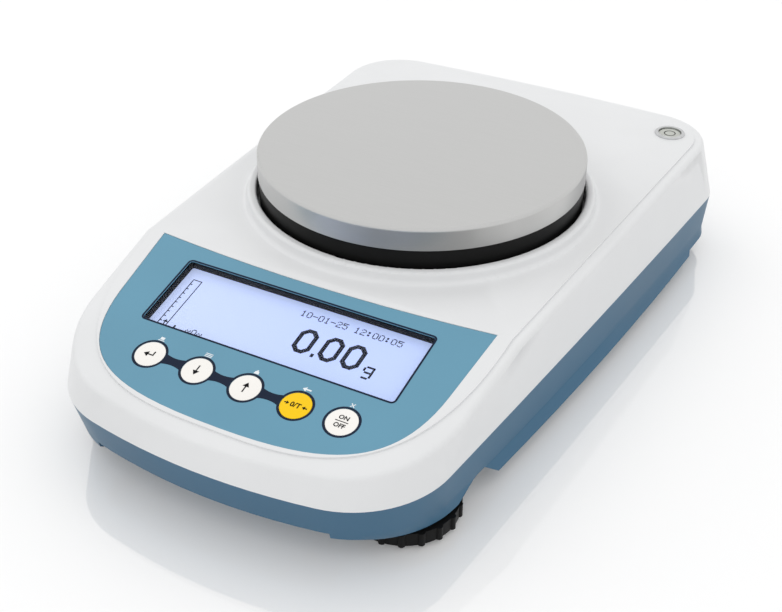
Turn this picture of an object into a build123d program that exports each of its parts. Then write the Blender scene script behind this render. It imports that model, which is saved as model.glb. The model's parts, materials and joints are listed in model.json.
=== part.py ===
from build123d import *
import math
import os

# Precision balance with a round steel pan, millimetres.
# The table is Z = 0, the front faces -Y, and the origin is below the middle of the housing.

# Plan of the two housing shells at their joint line
DEPTH = 350.0
JOINT_HALF_FRONT = 89.5
JOINT_HALF_REAR = 113.2
FRONT_BOW = 14.0
REAR_BOW = 4.0
SIDE_BOW = 1.2
FRONT_CORNER = 46.0
REAR_CORNER = 26.0
DECK_REAR_CORNER = 32.0
FRONT_Y = -DEPTH / 2
REAR_Y = DEPTH / 2

# Levels above the table
JOINT_Z = 32.4
DECK_Z = 65.6
TRAY_UNDER_Z = 16.5
CREASE_Z = 13.5
LOBE_Z = 10.0
RAIL_Z = 7.5

# How far each wall leans in from the joint line, and how it flares out again below the crease
DECK_IN_FRONT = 17.0
DECK_IN_REAR = 4.5
DECK_HALF_FRONT = 93.0
DECK_HALF_REAR = 107.0
CREASE_IN_END = 4.4
CREASE_HALF_FRONT = 86.5
CREASE_HALF_REAR = 112.0
CREASE_BOW = 3.0
LIP_IN_FRONT = 13.0
LIP_IN_REAR = 6.0
LIP_HALF_FRONT = 88.8
LIP_HALF_REAR = 113.0
LIP_BOW = 4.8
SHELL_WALL = 2.6
SHOULDER_ROUND = 3.0

# Sloped front panel
PANEL_TOP_Y = FRONT_Y + 101.3
PANEL_SLOPE = 13.45
PLATEAU_RISE = 0.8
PLATEAU_MARGIN = 2.1
PLATEAU_SIDE_Y = PANEL_TOP_Y - 6.3
PLATEAU_HALF_FRONT = 92.4
PLATEAU_HALF_REAR = 102.4
PLATEAU_REAR_GAP = 6.0
PLATEAU_REAR_CORNER = 26.0
PLATEAU_FRONT_PULL = 38.0
PLATEAU_SIDE_PULL = 84.0

# Printed film on the panel
OVERLAY_HALF_TOP = 85.9
OVERLAY_HALF = 82.5
OVERLAY_SIDE_V = 37.9
OVERLAY_LENGTH = 88.9
OVERLAY_TOP_BOW = 3.7
OVERLAY_SIDE_PULL = 42.5
OVERLAY_FRONT_PULL = 53.3
OVERLAY_T = 0.5
OVERLAY_SINK = 0.25

# Display: window, black frame, glass, light and board, stacked along the panel's normal
WINDOW_W = 126.0
WINDOW_H = 38.3
WINDOW_V = 30.2
WINDOW_R = 1.5
PANE_LIP = 1.6
PANE_T = 1.2
FRAME_DEEP = 3.4
GLASS_T = 2.0
GLASS_BORDER = 4.0
LIGHT_T = 3.0
BOARD_T = 1.6
BOARD_GAP = 0.8
BOARD_W = 150.0
BOARD_V0 = 4.0
BOARD_V1 = 76.0
BOARD_BOSS_R = 3.2
BOARD_SCREW_R = 1.5

# Keys: four in an even row and the power key beside them
KEY_ROW = ["key_enter", "key_down", "key_up", "key_zero"]
KEY_FIRST_X = -46.5
KEY_PITCH = 24.5
KEY_V = 66.4
POWER_X = 48.7
KEY_R = 6.8
KEY_FLANGE = 1.4
KEY_FLANGE_T = 1.0
KEY_STEM_R = 3.0
KEY_GAP = 0.3
KEY_TRAVEL = 0.5
KEY_CROWN = 0.35
KEY_FLAT_R = 1.0
SWITCH_W = 6.0
SWITCH_BODY = 3.4
SWITCH_BUTTON_R = 1.75

# Pan, its black support and the collar round them
PAN_Y = 21.0
PAN_D = 160.0
PAN_TOP = 91.0
PAN_RIM = 11.0
PAN_SHEET = 0.8
PAN_EDGE = 1.4
SUPPORT_R = 79.6
SUPPORT_T = 2.4
SUPPORT_DROP = 16.0
PAN_REST_GAP = 0.3
CUSHION_R = 5.0
CUSHION_AT = 62.0
CUSHION_T = 2.6
CUSHION_SEAT = 0.8
SUPPORT_RIBS = 8
COLLAR_GAP = 1.4
COLLAR_TOP = 72.0
COLLAR_LIP = 4.6
WELL_Z = 60.5
BOSS_R = 14.0
BOSS_WALL = 2.0
BOSS_RISE = 5.0

# Load cell and what carries it
POST_R = 7.0
POST_FIT = 0.3
CELL_L = 130.0
CELL_W = 28.0
CELL_H = 21.0
CELL_HOLE_R = 6.6
CELL_SKIN = 1.3
CELL_HOLE_AT = 20.0
CELL_END = 26.0
CELL_FREE = 0.35
BRACKET_T = 3.6
BRACKET_PAD = 1.6
MOUNT_L = 150.0
MOUNT_W = 64.0
MOUNT_T = 4.0
MOUNT_BOSS = 4.0
SPACER_T = 2.0
STOP_R = 2.5
STOP_GAP = 0.3
CAP_SCREW_R = 2.5
CAP_HEAD_R = 4.25
CAP_HEAD_H = 4.0

# Levelling feet
FOOT_FRONT = (68.7, FRONT_Y + 52.6)
FOOT_REAR = (78.0, REAR_Y - 38.0)
WHEEL_R = 23.9
WHEEL_RIB = 1.2
WHEEL_RIBS = 18
WHEEL_TURN = -4.0
WHEEL_H = 6.4
WHEEL_HUB_R = 8.5
WHEEL_WEB = 2.4
PAD_R = 9.0
PAD_H = 1.9
PAD_PEG_R = 2.0
PAD_PEG_H = 3.0
STUD_R = 3.8
STUD_TOP = 27.0
THREAD_FIT = 0.3
INSERT_WALL = 2.0
INSERT_H = 10.0
FOOT_BOSS_WALL = 2.6
RUN_GAP = 0.3

# Lobes round the feet and rails along the sides, below the tray
LOBE_FRONT_X = 58.0
LOBE_REAR_X = 60.0
LOBE_FRONT_Y = FRONT_Y + 75.0
LOBE_REAR_Y = REAR_Y - 69.0
LOBE_ROUND = 14.0
LOBE_RISE_Y = FRONT_Y + 57.0
NOTCH_Y = FRONT_Y + 73.0
NOTCH_Z = 14.2
RAIL_RAKE_Y = NOTCH_Y + 6.0
RAIL_FRONT_Y = NOTCH_Y + 14.0
RAIL_REAR_Y = REAR_Y - 51.0
RAIL_STEP = 2.0
RAIL_T = 3.0

# Rear sockets and main board
POCKET_W = 84.0
POCKET_H = 19.0
POCKET_Y = REAR_Y - 9.5
POCKET_ROUND = 3.0
MAIN_W = 120.0
MAIN_D = 56.0
MAIN_Z = 39.0
MAIN_REAR_GAP = 1.0
SERIAL_X = -18.0
SERIAL_PITCH = 24.99
SERIAL_W = 31.0
SERIAL_H = 12.5
SERIAL_BODY = 9.0
SERIAL_SHELL_W = 16.6
SERIAL_SHELL_H = 8.0
SERIAL_SHELL_OUT = 5.2
SERIAL_FLANGE = 1.0
LOCK_HEX = 4.8
LOCK_OUT = 5.0
LOCK_HOLE_R = 1.42
LOCK_SHANK_R = 1.4
DC_X = 22.0
DC_W = 12.0
DC_H = 11.0
DC_L = 13.0
DC_NOSE_R = 4.6
DC_BORE_R = 3.2
DC_PIN_R = 1.0
SOCKET_FIT = 0.25
RIBBON_X = 42.0
RIBBON_W = 16.0
RIBBON_T = 0.8

# Bubble level on the rear right of the deck
LEVEL_X = 86.4
LEVEL_Y = REAR_Y - 30.4
LEVEL_R = 8.0
LEVEL_BORE_R = 6.3
LEVEL_FLANGE = 0.8
LEVEL_DEEP = 7.0
VIAL_R = 6.0
VIAL_H = 6.0
LEVEL_FIT = 0.25

# Screws that close the housing, and the boss that takes each one
CASE_SCREWS = [(40.0, FRONT_Y + 25.0), (86.0, PANEL_TOP_Y + 21.7), (92.0, REAR_Y - 79.0)]
CASE_BOSS_R = 4.2
CASE_SCREW_R = 1.8
CASE_HEAD_R = 3.4
CASE_HEAD_H = 2.2
CASE_BITE = 12.0

SIDES = (-1, 1)


def plan(front_y, rear_y, half_front, half_rear, side_bow, front_round, rear_round):
    """Plan of the housing: bowed ends, bowed sides that widen to the rear, rounded corners."""
    front_corner = Vector(half_front, front_y + FRONT_BOW)
    rear_corner = Vector(half_rear, rear_y - REAR_BOW)
    side = (front_corner + rear_corner) / 2 + Vector(side_bow, 0)
    with BuildSketch() as sketch:
        with BuildLine() as outline:
            ThreePointArc((0, front_y), (half_front / 2, front_y + FRONT_BOW / 4), front_corner)
            ThreePointArc(front_corner, side, rear_corner)
            ThreePointArc(rear_corner, (half_rear / 2, rear_y - REAR_BOW / 4), (0, rear_y))
            mirror(outline.line, about=Plane.YZ)
        make_face()
        fillet(sketch.vertices().filter_by(lambda v: abs(v.X) > 1 and v.Y < 0), front_round)
        fillet(sketch.vertices().filter_by(lambda v: abs(v.X) > 1).sort_by(Axis.Y)[-2:], rear_round)
    return sketch.sketch


def joint_plan(inset=0.0):
    """Plan at the joint line, drawn in by an inset."""
    return plan(
        FRONT_Y + inset,
        REAR_Y - inset,
        JOINT_HALF_FRONT - inset,
        JOINT_HALF_REAR - inset,
        SIDE_BOW,
        FRONT_CORNER - inset,
        REAR_CORNER - inset,
    )


def deck_plan(inset=0.0):
    """Plan at deck level: the front wall leans in much more than the sides."""
    return plan(
        FRONT_Y + DECK_IN_FRONT + inset,
        REAR_Y - DECK_IN_REAR - inset,
        DECK_HALF_FRONT - inset,
        DECK_HALF_REAR - inset,
        SIDE_BOW,
        FRONT_CORNER - inset,
        DECK_REAR_CORNER - inset,
    )


def crease_plan(inset=0.0):
    """Plan at the crease, where the tray's wall stops leaning in."""
    return plan(
        FRONT_Y + CREASE_IN_END + inset,
        REAR_Y - CREASE_IN_END - inset,
        CREASE_HALF_FRONT - inset,
        CREASE_HALF_REAR - inset,
        CREASE_BOW,
        FRONT_CORNER - inset,
        REAR_CORNER - inset,
    )


def lip_plan(inset=0.0):
    """Plan of the lower lip: flared at the sides, drawn back at both ends."""
    return plan(
        FRONT_Y + LIP_IN_FRONT + inset,
        REAR_Y - LIP_IN_REAR - inset,
        LIP_HALF_FRONT - inset,
        LIP_HALF_REAR - inset,
        LIP_BOW,
        FRONT_CORNER - inset,
        REAR_CORNER - inset,
    )


def panel_plane(depth=0.0):
    """Plane of the sloped panel, sunk by a depth; its X runs right and its Y up the slope."""
    slope = math.radians(PANEL_SLOPE)
    normal = Vector(0, -math.sin(slope), math.cos(slope))
    return Plane(Vector(0, PANEL_TOP_Y, DECK_Z) - normal * depth, x_dir=(1, 0, 0), z_dir=normal)


def above_panel(depth=0.0):
    """All space over the sloped panel, in front of its top edge."""
    block = Box(DEPTH, DEPTH, DEPTH, align=(Align.CENTER, Align.MAX, Align.MIN))
    return panel_plane(depth) * block


def rounded_slab(width, height, radius, thickness):
    """Slab with rounded corners that hangs from its plane by its thickness."""
    return extrude(RectangleRounded(width, height, radius), -thickness)


def cover_form(inset, lift=0.0):
    """Closed form of the top cover, drawn in by an inset or lifted."""
    body = loft([Pos(0, 0, JOINT_Z) * joint_plan(inset), Pos(0, 0, DECK_Z) * deck_plan(inset)], ruled=True)
    body -= Pos(0, 0, DECK_Z + DEPTH / 2 - inset) * Box(4 * DEPTH, 4 * DEPTH, DEPTH)
    return Pos(0, 0, lift) * (body - above_panel(inset))


def plateau_plan():
    """Plan of the raised plateau: it carries the deck and closes in round the film's front."""
    front = PANEL_TOP_Y - (OVERLAY_LENGTH + PLATEAU_MARGIN) * math.cos(math.radians(PANEL_SLOPE))
    rear = REAR_Y - DECK_IN_REAR - PLATEAU_REAR_GAP
    neck = Vector(PLATEAU_HALF_FRONT, PLATEAU_SIDE_Y)
    heel = Vector(PLATEAU_HALF_REAR, rear - REAR_BOW)
    along = (neck - heel).normalized()
    with BuildSketch() as sketch:
        with BuildLine() as outline:
            Bezier((0, front), (PLATEAU_FRONT_PULL, front), neck + along * PLATEAU_SIDE_PULL, neck)
            Line(neck, heel)
            ThreePointArc(heel, (PLATEAU_HALF_REAR / 2, rear - REAR_BOW / 4), (0, rear))
            mirror(outline.line, about=Plane.YZ)
        make_face()
        fillet(sketch.vertices().filter_by(lambda v: abs(v.X) > 1).sort_by(Axis.Y)[-2:], PLATEAU_REAR_CORNER)
    return sketch.sketch


def collar_form():
    """Revolved collar round the pan support: a rounded lip with a hollow at its foot."""
    inner = SUPPORT_R + COLLAR_GAP
    outer = inner + COLLAR_LIP
    deck = DECK_Z + PLATEAU_RISE
    with BuildSketch(Plane.XZ) as section:
        with BuildLine():
            Polyline((inner, WELL_Z - SHELL_WALL), (inner, COLLAR_TOP - 1.2))
            ThreePointArc((inner, COLLAR_TOP - 1.2), (inner + 0.35, COLLAR_TOP - 0.35), (inner + 1.2, COLLAR_TOP))
            Line((inner + 1.2, COLLAR_TOP), (outer - 2.0, COLLAR_TOP))
            ThreePointArc((outer - 2.0, COLLAR_TOP), (outer - 0.6, COLLAR_TOP - 0.6), (outer, COLLAR_TOP - 2.0))
            Line((outer, COLLAR_TOP - 2.0), (outer + 0.3, deck + 2.6))
            ThreePointArc((outer + 0.3, deck + 2.6), (outer + 1.1, deck + 0.8), (outer + 3.2, deck))
            Polyline((outer + 3.2, deck), (outer + 3.2, deck - SHELL_WALL), (inner + SHELL_WALL, deck - SHELL_WALL))
            Line((inner + SHELL_WALL, deck - SHELL_WALL), (inner + SHELL_WALL, WELL_Z - SHELL_WALL))
            Line((inner + SHELL_WALL, WELL_Z - SHELL_WALL), (inner, WELL_Z - SHELL_WALL))
        make_face()
    return Pos(0, PAN_Y, 0) * revolve(section.sketch, Axis.Z)


def well_form():
    """Floor of the well below the pan support, with the drip boss round the post."""
    inner = SUPPORT_R + COLLAR_GAP
    floor = Pos(0, PAN_Y, WELL_Z) * Cylinder(inner + SHELL_WALL, SHELL_WALL, align=(Align.CENTER, Align.CENTER, Align.MAX))
    rise = SHELL_WALL + BOSS_RISE
    boss = Pos(0, PAN_Y, WELL_Z - SHELL_WALL) * Cylinder(
        BOSS_R + BOSS_WALL, rise, align=(Align.CENTER, Align.CENTER, Align.MIN)
    )
    bore = Pos(0, PAN_Y, WELL_Z - SHELL_WALL) * Cylinder(BOSS_R, rise, align=(Align.CENTER, Align.CENTER, Align.MIN))
    return floor + boss - bore


def key_places():
    """Name and place of each key on the panel, in the panel's own X and Y."""
    places = [(name, KEY_FIRST_X + i * KEY_PITCH, -KEY_V) for i, name in enumerate(KEY_ROW)]
    return places + [("key_power", POWER_X, -KEY_V)]


def board_boss_places():
    """Four bosses below the panel that hold the display board."""
    x = BOARD_W / 2 - 4.0
    return [(sx * x, -v) for sx in SIDES for v in (BOARD_V0 + 6.0, BOARD_V1 - 18.0)]


PANEL_TOP = -PLATEAU_RISE
FILM_TOP = PANEL_TOP + OVERLAY_SINK
FILM_UNDER = FILM_TOP + OVERLAY_T
PANE_UNDER = FILM_UNDER + PANE_T
FRAME_UNDER = PANE_UNDER + FRAME_DEEP
GLASS_UNDER = FRAME_UNDER + GLASS_T
LIGHT_UNDER = GLASS_UNDER + LIGHT_T
BOARD_TOP = LIGHT_UNDER + BOARD_GAP


def overlay_plan(margin=0.0):
    """Outline of the printed film: bowed top, tapering sides, one full curve round the front."""
    top = Vector(OVERLAY_HALF_TOP + margin, margin)
    low = Vector(OVERLAY_HALF + margin, -OVERLAY_SIDE_V)
    front = Vector(0, -OVERLAY_LENGTH - margin)
    along = (low - top).normalized()
    with BuildSketch() as sketch:
        with BuildLine() as outline:
            ThreePointArc((0, margin - OVERLAY_TOP_BOW), (top.X / 2, margin - OVERLAY_TOP_BOW * 0.75), top)
            Line(top, low)
            pull = front + Vector(OVERLAY_FRONT_PULL + margin, 0)
            Bezier(low, low + along * OVERLAY_SIDE_PULL, pull, front)
            mirror(outline.line, about=Plane.YZ)
        make_face()
    return sketch.sketch


def mirrored(points):
    """Each place and its mirror image across the middle of the housing."""
    return [(side * x, y) for x, y in points for side in SIDES]


def standing(radius, low, high, x=0.0, y=0.0):
    """Upright cylinder between two levels."""
    return Pos(x, y, low) * Cylinder(radius, high - low, align=(Align.CENTER, Align.CENTER, Align.MIN))


def sunk(radius, top, under, x, y):
    """Cylinder square to the panel between two depths."""
    return panel_plane(top) * Pos(x, y, 0) * Cylinder(radius, under - top, align=(Align.CENTER, Align.CENTER, Align.MAX))


def rear_pocket(outer):
    """Flat-backed pocket for the rear sockets; outer gives the room it takes with its own wall."""
    grow = SHELL_WALL if outer else 0.0
    width = POCKET_W + 2 * grow
    height = POCKET_H + 2 * grow
    y = POCKET_Y - grow
    face = Plane(origin=(0, y, socket_z()), x_dir=(1, 0, 0), z_dir=(0, 1, 0))
    return face * extrude(RectangleRounded(width, height, POCKET_ROUND), DEPTH / 4)


def socket_z():
    """Height of the axis of both rear sockets."""
    return MAIN_Z + BOARD_T + SERIAL_H / 2 + 0.2


def top_cover():
    """White moulded upper shell."""
    outer = cover_form(0.0)
    rim = outer.edges().filter_by(lambda e: e.center().Z > JOINT_Z + 3.0)
    level = outer.faces().sort_by(Axis.Z)[-1]
    slope = outer.faces().filter_by(lambda f: abs(f.normal_at().Z - math.cos(math.radians(PANEL_SLOPE))) < 1e-3)[0]
    shared = [e for e in rim if e in level.edges() or e in slope.edges()]
    ridge = [e for e in level.edges() if e in slope.edges()]
    outer = fillet([e for e in shared if e not in ridge], SHOULDER_ROUND)
    plateau = extrude(plateau_plan(), DECK_Z * 2) & cover_form(0.0, PLATEAU_RISE)
    plateau -= Box(DEPTH, DEPTH, 2 * (JOINT_Z + SHELL_WALL))
    outer += plateau
    inner_well = standing(SUPPORT_R + COLLAR_GAP, WELL_Z, COLLAR_TOP + 1.0, 0, PAN_Y)
    pocket_wall = rear_pocket(True) & outer
    shell = outer - cover_form(SHELL_WALL) - inner_well
    shell += collar_form()
    shell += well_form()
    shell += pocket_wall
    shell -= rear_pocket(False)
    shell -= panel_plane(FILM_UNDER) * extrude(overlay_plan(0.15), 3.0)
    aperture = rounded_slab(WINDOW_W + 2 * PANE_LIP + 0.4, WINDOW_H + 2 * PANE_LIP + 0.4, WINDOW_R, 8.0)
    shell -= panel_plane(FILM_UNDER - 1.0) * Pos(0, -WINDOW_V, 0) * aperture
    for _, x, y in key_places():
        shell -= sunk(KEY_R + KEY_GAP, FILM_UNDER - 1.0, FILM_UNDER + 8.0, x, y)
    for x, y in board_boss_places():
        shell += sunk(BOARD_BOSS_R, SHELL_WALL - 0.5, BOARD_TOP, x, y) - sunk(BOARD_SCREW_R, SHELL_WALL + 1.0, BOARD_TOP, x, y)
    shell += cover_bosses()
    shell -= standing(LEVEL_BORE_R + LEVEL_FLANGE, DECK_Z - 2 * SHELL_WALL, DECK_Z + 5.0, LEVEL_X, LEVEL_Y)
    face = socket_z()
    shell -= Pos(SERIAL_X, POCKET_Y, face) * Box(SERIAL_SHELL_W + 1.2, 3 * SHELL_WALL, SERIAL_SHELL_H + 1.0)
    for side in SIDES:
        shell -= Pos(SERIAL_X + side * SERIAL_PITCH / 2, POCKET_Y, face) * Rot(90, 0, 0) * Cylinder(
            LOCK_SHANK_R + 0.2, 3 * SHELL_WALL
        )
    shell -= Pos(DC_X, POCKET_Y, face) * Rot(90, 0, 0) * Cylinder(DC_NOSE_R + SOCKET_FIT, 3 * SHELL_WALL)
    return shell


def case_places():
    return mirrored(CASE_SCREWS)


def cover_bosses():
    """Hollow posts below the deck and the panel that take the case screws."""
    under = cover_form(SHELL_WALL * 0.5)
    bosses = None
    for x, y in case_places():
        post = standing(CASE_BOSS_R, JOINT_Z, DECK_Z, x, y) & under
        post -= standing(CASE_SCREW_R - 0.3, JOINT_Z, JOINT_Z + CASE_BITE, x, y)
        bosses = post if bosses is None else bosses + post
    return bosses


def wall_form(inset=0.0):
    """Tapered form between the crease and the joint line."""
    return loft([Pos(0, 0, CREASE_Z) * crease_plan(inset), Pos(0, 0, JOINT_Z) * joint_plan(inset)], ruled=True)


def skirt_form(inset=0.0):
    """The tapered form with the flared lip below it."""
    flare = loft([Pos(0, 0, RAIL_Z) * lip_plan(inset), Pos(0, 0, CREASE_Z) * crease_plan(inset)], ruled=True)
    return flare + wall_form(inset)


def lobe_areas(inset=0.0):
    """Plan areas of the four lobes round the feet, each rounded towards the middle."""
    areas = []
    for side in SIDES:
        for x, y, toward in ((LOBE_FRONT_X, LOBE_FRONT_Y, -1), (LOBE_REAR_X, LOBE_REAR_Y, 1)):
            centre = Vector(side * (x + DEPTH / 4), y + toward * DEPTH / 4)
            area = Pos(centre) * Rectangle(DEPTH / 2 - 2 * inset, DEPTH / 2 - 2 * inset)
            inner = area.vertices().sort_by_distance((0, 0, 0))[0]
            areas.append(fillet(inner, LOBE_ROUND - inset))
    return areas


def lobe_blocks(low, high, inset=0.0):
    """The four lobe areas as blocks between two levels."""
    return [Pos(0, 0, low) * extrude(area, high - low) for area in lobe_areas(inset)]


def skirt_profile():
    """Side view of what hangs below the tray: lobe, raked notch, rail and rear lobe."""
    top = TRAY_UNDER_Z + SHELL_WALL / 2
    with BuildSketch(Plane.YZ) as side:
        with BuildLine():
            Polyline(
                (-DEPTH, top),
                (-DEPTH, LOBE_Z),
                (LOBE_RISE_Y, LOBE_Z),
                (NOTCH_Y, NOTCH_Z),
                (RAIL_RAKE_Y, NOTCH_Z),
                (RAIL_FRONT_Y, RAIL_Z),
                (RAIL_REAR_Y, RAIL_Z),
                (RAIL_REAR_Y + RAIL_STEP, LOBE_Z),
                (DEPTH, LOBE_Z),
                (DEPTH, top),
                close=True,
            )
        make_face()
    return extrude(side.sketch, DEPTH, both=True)


def skirt():
    """Lobes and rails: the flared form where the side view and the plan areas keep it."""
    form = skirt_form()
    top = TRAY_UNDER_Z + SHELL_WALL / 2
    length = RAIL_REAR_Y - NOTCH_Y + LOBE_ROUND
    middle = Pos(0, NOTCH_Y, 0) * Box(4 * DEPTH, length, 2 * top, align=(Align.CENTER, Align.MIN, Align.CENTER))
    kept = (form & middle) - skirt_form(RAIL_T)
    for block in lobe_blocks(LOBE_Z, top):
        kept += form & block
    return kept & skirt_profile()


def foot_places():
    return {
        "front_left": (-FOOT_FRONT[0], FOOT_FRONT[1]),
        "front_right": FOOT_FRONT,
        "rear_left": (-FOOT_REAR[0], FOOT_REAR[1]),
        "rear_right": FOOT_REAR,
    }


def base_tray():
    """Blue moulded lower shell with its lobes, rails, bosses and posts."""
    floor = TRAY_UNDER_Z + SHELL_WALL
    below = Box(4 * DEPTH, 4 * DEPTH, 2 * TRAY_UNDER_Z)
    tray = wall_form() - below + skirt()
    tray -= wall_form(SHELL_WALL) - Box(4 * DEPTH, 4 * DEPTH, 2 * floor)
    inner = skirt_form(SHELL_WALL)
    for block in lobe_blocks(LOBE_Z + SHELL_WALL, floor + 1.0, SHELL_WALL):
        tray -= inner & block
    bore = STUD_R + THREAD_FIT + INSERT_WALL
    for x, y in foot_places().values():
        tray += standing(bore + FOOT_BOSS_WALL, LOBE_Z, STUD_TOP + 1.0, x, y)
        tray -= standing(bore, STUD_TOP + 1.0 - INSERT_H, STUD_TOP + 1.0, x, y)
        tray -= standing(STUD_R + 2 * THREAD_FIT, 0, STUD_TOP, x, y)
    for x, y in case_places():
        tray += standing(CASE_BOSS_R, TRAY_UNDER_Z + 0.5, JOINT_Z, x, y)
        tray -= standing(CASE_SCREW_R + 0.3, 0, JOINT_Z, x, y)
        tray -= standing(CASE_HEAD_R + 0.4, 0, JOINT_Z - 6.0, x, y)
    for x, y in mount_places():
        tray += standing(5.0, floor - 0.5, floor + MOUNT_BOSS, x, y) - standing(1.6, floor + 0.5, floor + MOUNT_BOSS, x, y)
    for x, y in main_places():
        tray += standing(3.4, floor - 0.5, MAIN_Z, x, y) - standing(1.25, MAIN_Z - 8.0, MAIN_Z, x, y)
    return tray


def mount_places():
    """Bosses on the tray's floor below the corners of the load cell's mount."""
    return [(sx * (MOUNT_W / 2 - 6.0), PAN_Y + sy * (MOUNT_L / 2 - 7.0)) for sx in SIDES for sy in SIDES]


def main_places():
    """Posts below the corners of the main board."""
    y0 = POCKET_Y - SHELL_WALL - MAIN_REAR_GAP - MAIN_D
    return [(sx * (MAIN_W / 2 - 5.0), y) for sx in SIDES for y in (y0 + 5.0, y0 + MAIN_D - 5.0)]


def front_overlay():
    """Printed film with the window and the five key openings."""
    film = panel_plane(FILM_TOP) * extrude(overlay_plan(), -OVERLAY_T)
    opening = rounded_slab(WINDOW_W, WINDOW_H, WINDOW_R, 4.0)
    film -= panel_plane(FILM_TOP - 1.0) * Pos(0, -WINDOW_V, 0) * opening
    for _, x, y in key_places():
        film -= sunk(KEY_R + KEY_GAP, FILM_TOP - 1.0, FILM_UNDER + 1.0, x, y)
    return film


def display_window():
    slab = rounded_slab(WINDOW_W + 2 * PANE_LIP, WINDOW_H + 2 * PANE_LIP, WINDOW_R, PANE_T)
    return panel_plane(FILM_UNDER) * Pos(0, -WINDOW_V, 0) * slab


def display_frame():
    """Black frame that lines the recess between pane and glass."""
    outer = rounded_slab(WINDOW_W + 2 * PANE_LIP, WINDOW_H + 2 * PANE_LIP, WINDOW_R, FRAME_DEEP)
    inner = rounded_slab(WINDOW_W + 0.4, WINDOW_H + 0.4, WINDOW_R * 0.6, FRAME_DEEP)
    return panel_plane(PANE_UNDER) * Pos(0, -WINDOW_V, 0) * (outer - inner)


def lcd_glass():
    slab = rounded_slab(WINDOW_W + 2 * GLASS_BORDER, WINDOW_H + 2 * GLASS_BORDER, WINDOW_R, GLASS_T)
    return panel_plane(FRAME_UNDER) * Pos(0, -WINDOW_V, 0) * slab


def backlight():
    slab = rounded_slab(WINDOW_W + 2 * GLASS_BORDER - 2.0, WINDOW_H + 2 * GLASS_BORDER - 2.0, WINDOW_R, LIGHT_T)
    feet = [
        panel_plane(LIGHT_UNDER) * Pos(sx * WINDOW_W * 0.45, -WINDOW_V + sy * WINDOW_H * 0.4, 0) * Cylinder(
            2.0, BOARD_GAP, align=(Align.CENTER, Align.CENTER, Align.MAX)
        )
        for sx in SIDES
        for sy in SIDES
    ]
    body = panel_plane(GLASS_UNDER) * Pos(0, -WINDOW_V, 0) * slab
    for foot in feet:
        body += foot
    return body


def display_board():
    """Board of display and keys, screwed to the four bosses below the panel."""
    height = BOARD_V1 - BOARD_V0
    slab = rounded_slab(BOARD_W, height, 2.0, BOARD_T)
    board = panel_plane(BOARD_TOP) * Pos(0, -(BOARD_V0 + BOARD_V1) / 2, 0) * slab
    for x, y in board_boss_places():
        board -= sunk(BOARD_SCREW_R + 0.2, BOARD_TOP - 1.0, BOARD_TOP + 4.0, x, y)
    return board


def display_screws():
    screws = []
    for x, y in board_boss_places():
        head = sunk(2.8, BOARD_TOP + BOARD_T, BOARD_TOP + BOARD_T + 1.6, x, y)
        screws.append(head + sunk(BOARD_SCREW_R - 0.1, BOARD_TOP - 6.0, BOARD_TOP + BOARD_T, x, y))
    return Compound(screws)


def key_cap(x, y):
    """Round key: crowned cap, retaining flange and stem, turned about its own axis."""
    under = SHELL_WALL + KEY_GAP
    foot = switch_top() - KEY_TRAVEL - 0.1
    with BuildSketch(Plane.XZ) as section:
        with BuildLine():
            Line((0, KEY_CROWN - FILM_TOP), (KEY_FLAT_R, KEY_CROWN - FILM_TOP))
            ThreePointArc(
                (KEY_FLAT_R, KEY_CROWN - FILM_TOP), (KEY_R * 0.6, KEY_CROWN * 0.67 - FILM_TOP), (KEY_R, -FILM_TOP)
            )
            Polyline(
                (KEY_R, -FILM_TOP),
                (KEY_R, -under),
                (KEY_R + KEY_FLANGE, -under),
                (KEY_R + KEY_FLANGE, -under - KEY_FLANGE_T),
                (KEY_STEM_R, -under - KEY_FLANGE_T),
                (KEY_STEM_R, -foot),
                (0, -foot),
                (0, KEY_CROWN - FILM_TOP),
            )
        make_face()
    return panel_plane() * Pos(x, y, 0) * revolve(section.sketch, Axis.Z)


def switch_top():
    return BOARD_TOP - SWITCH_BODY - 0.9


def key_switches():
    """One small push switch on the board below each key."""
    switches = []
    for _, x, y in key_places():
        body = panel_plane(BOARD_TOP - SWITCH_BODY) * Pos(x, y, 0) * rounded_slab(SWITCH_W, SWITCH_W, 0.6, SWITCH_BODY)
        switches.append(body + sunk(SWITCH_BUTTON_R, switch_top(), BOARD_TOP - SWITCH_BODY + 0.2, x, y))
    return Compound(switches)


def weighing_pan():
    """Steel pan: flat disc with a rim turned down over the support."""
    radius = PAN_D / 2
    outer = standing(radius, PAN_TOP - PAN_RIM, PAN_TOP, 0, PAN_Y)
    outer = fillet(outer.edges().sort_by(Axis.Z)[-1], PAN_EDGE)
    inner = standing(radius - PAN_SHEET, PAN_TOP - PAN_RIM, PAN_TOP - PAN_SHEET, 0, PAN_Y)
    inner = fillet(inner.edges().sort_by(Axis.Z)[-1], PAN_EDGE - PAN_SHEET)
    return outer - inner


SUPPORT_TOP = PAN_TOP - PAN_SHEET - PAN_REST_GAP - CUSHION_T + CUSHION_SEAT
SKIRT_TOP = PAN_TOP - PAN_RIM - PAN_REST_GAP
SUPPORT_INNER_R = PAN_D / 2 - PAN_SHEET - 1.0
SKIRT_LOW = SKIRT_TOP - SUPPORT_DROP
POST_TOP = SUPPORT_TOP - SUPPORT_T - POST_FIT


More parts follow.
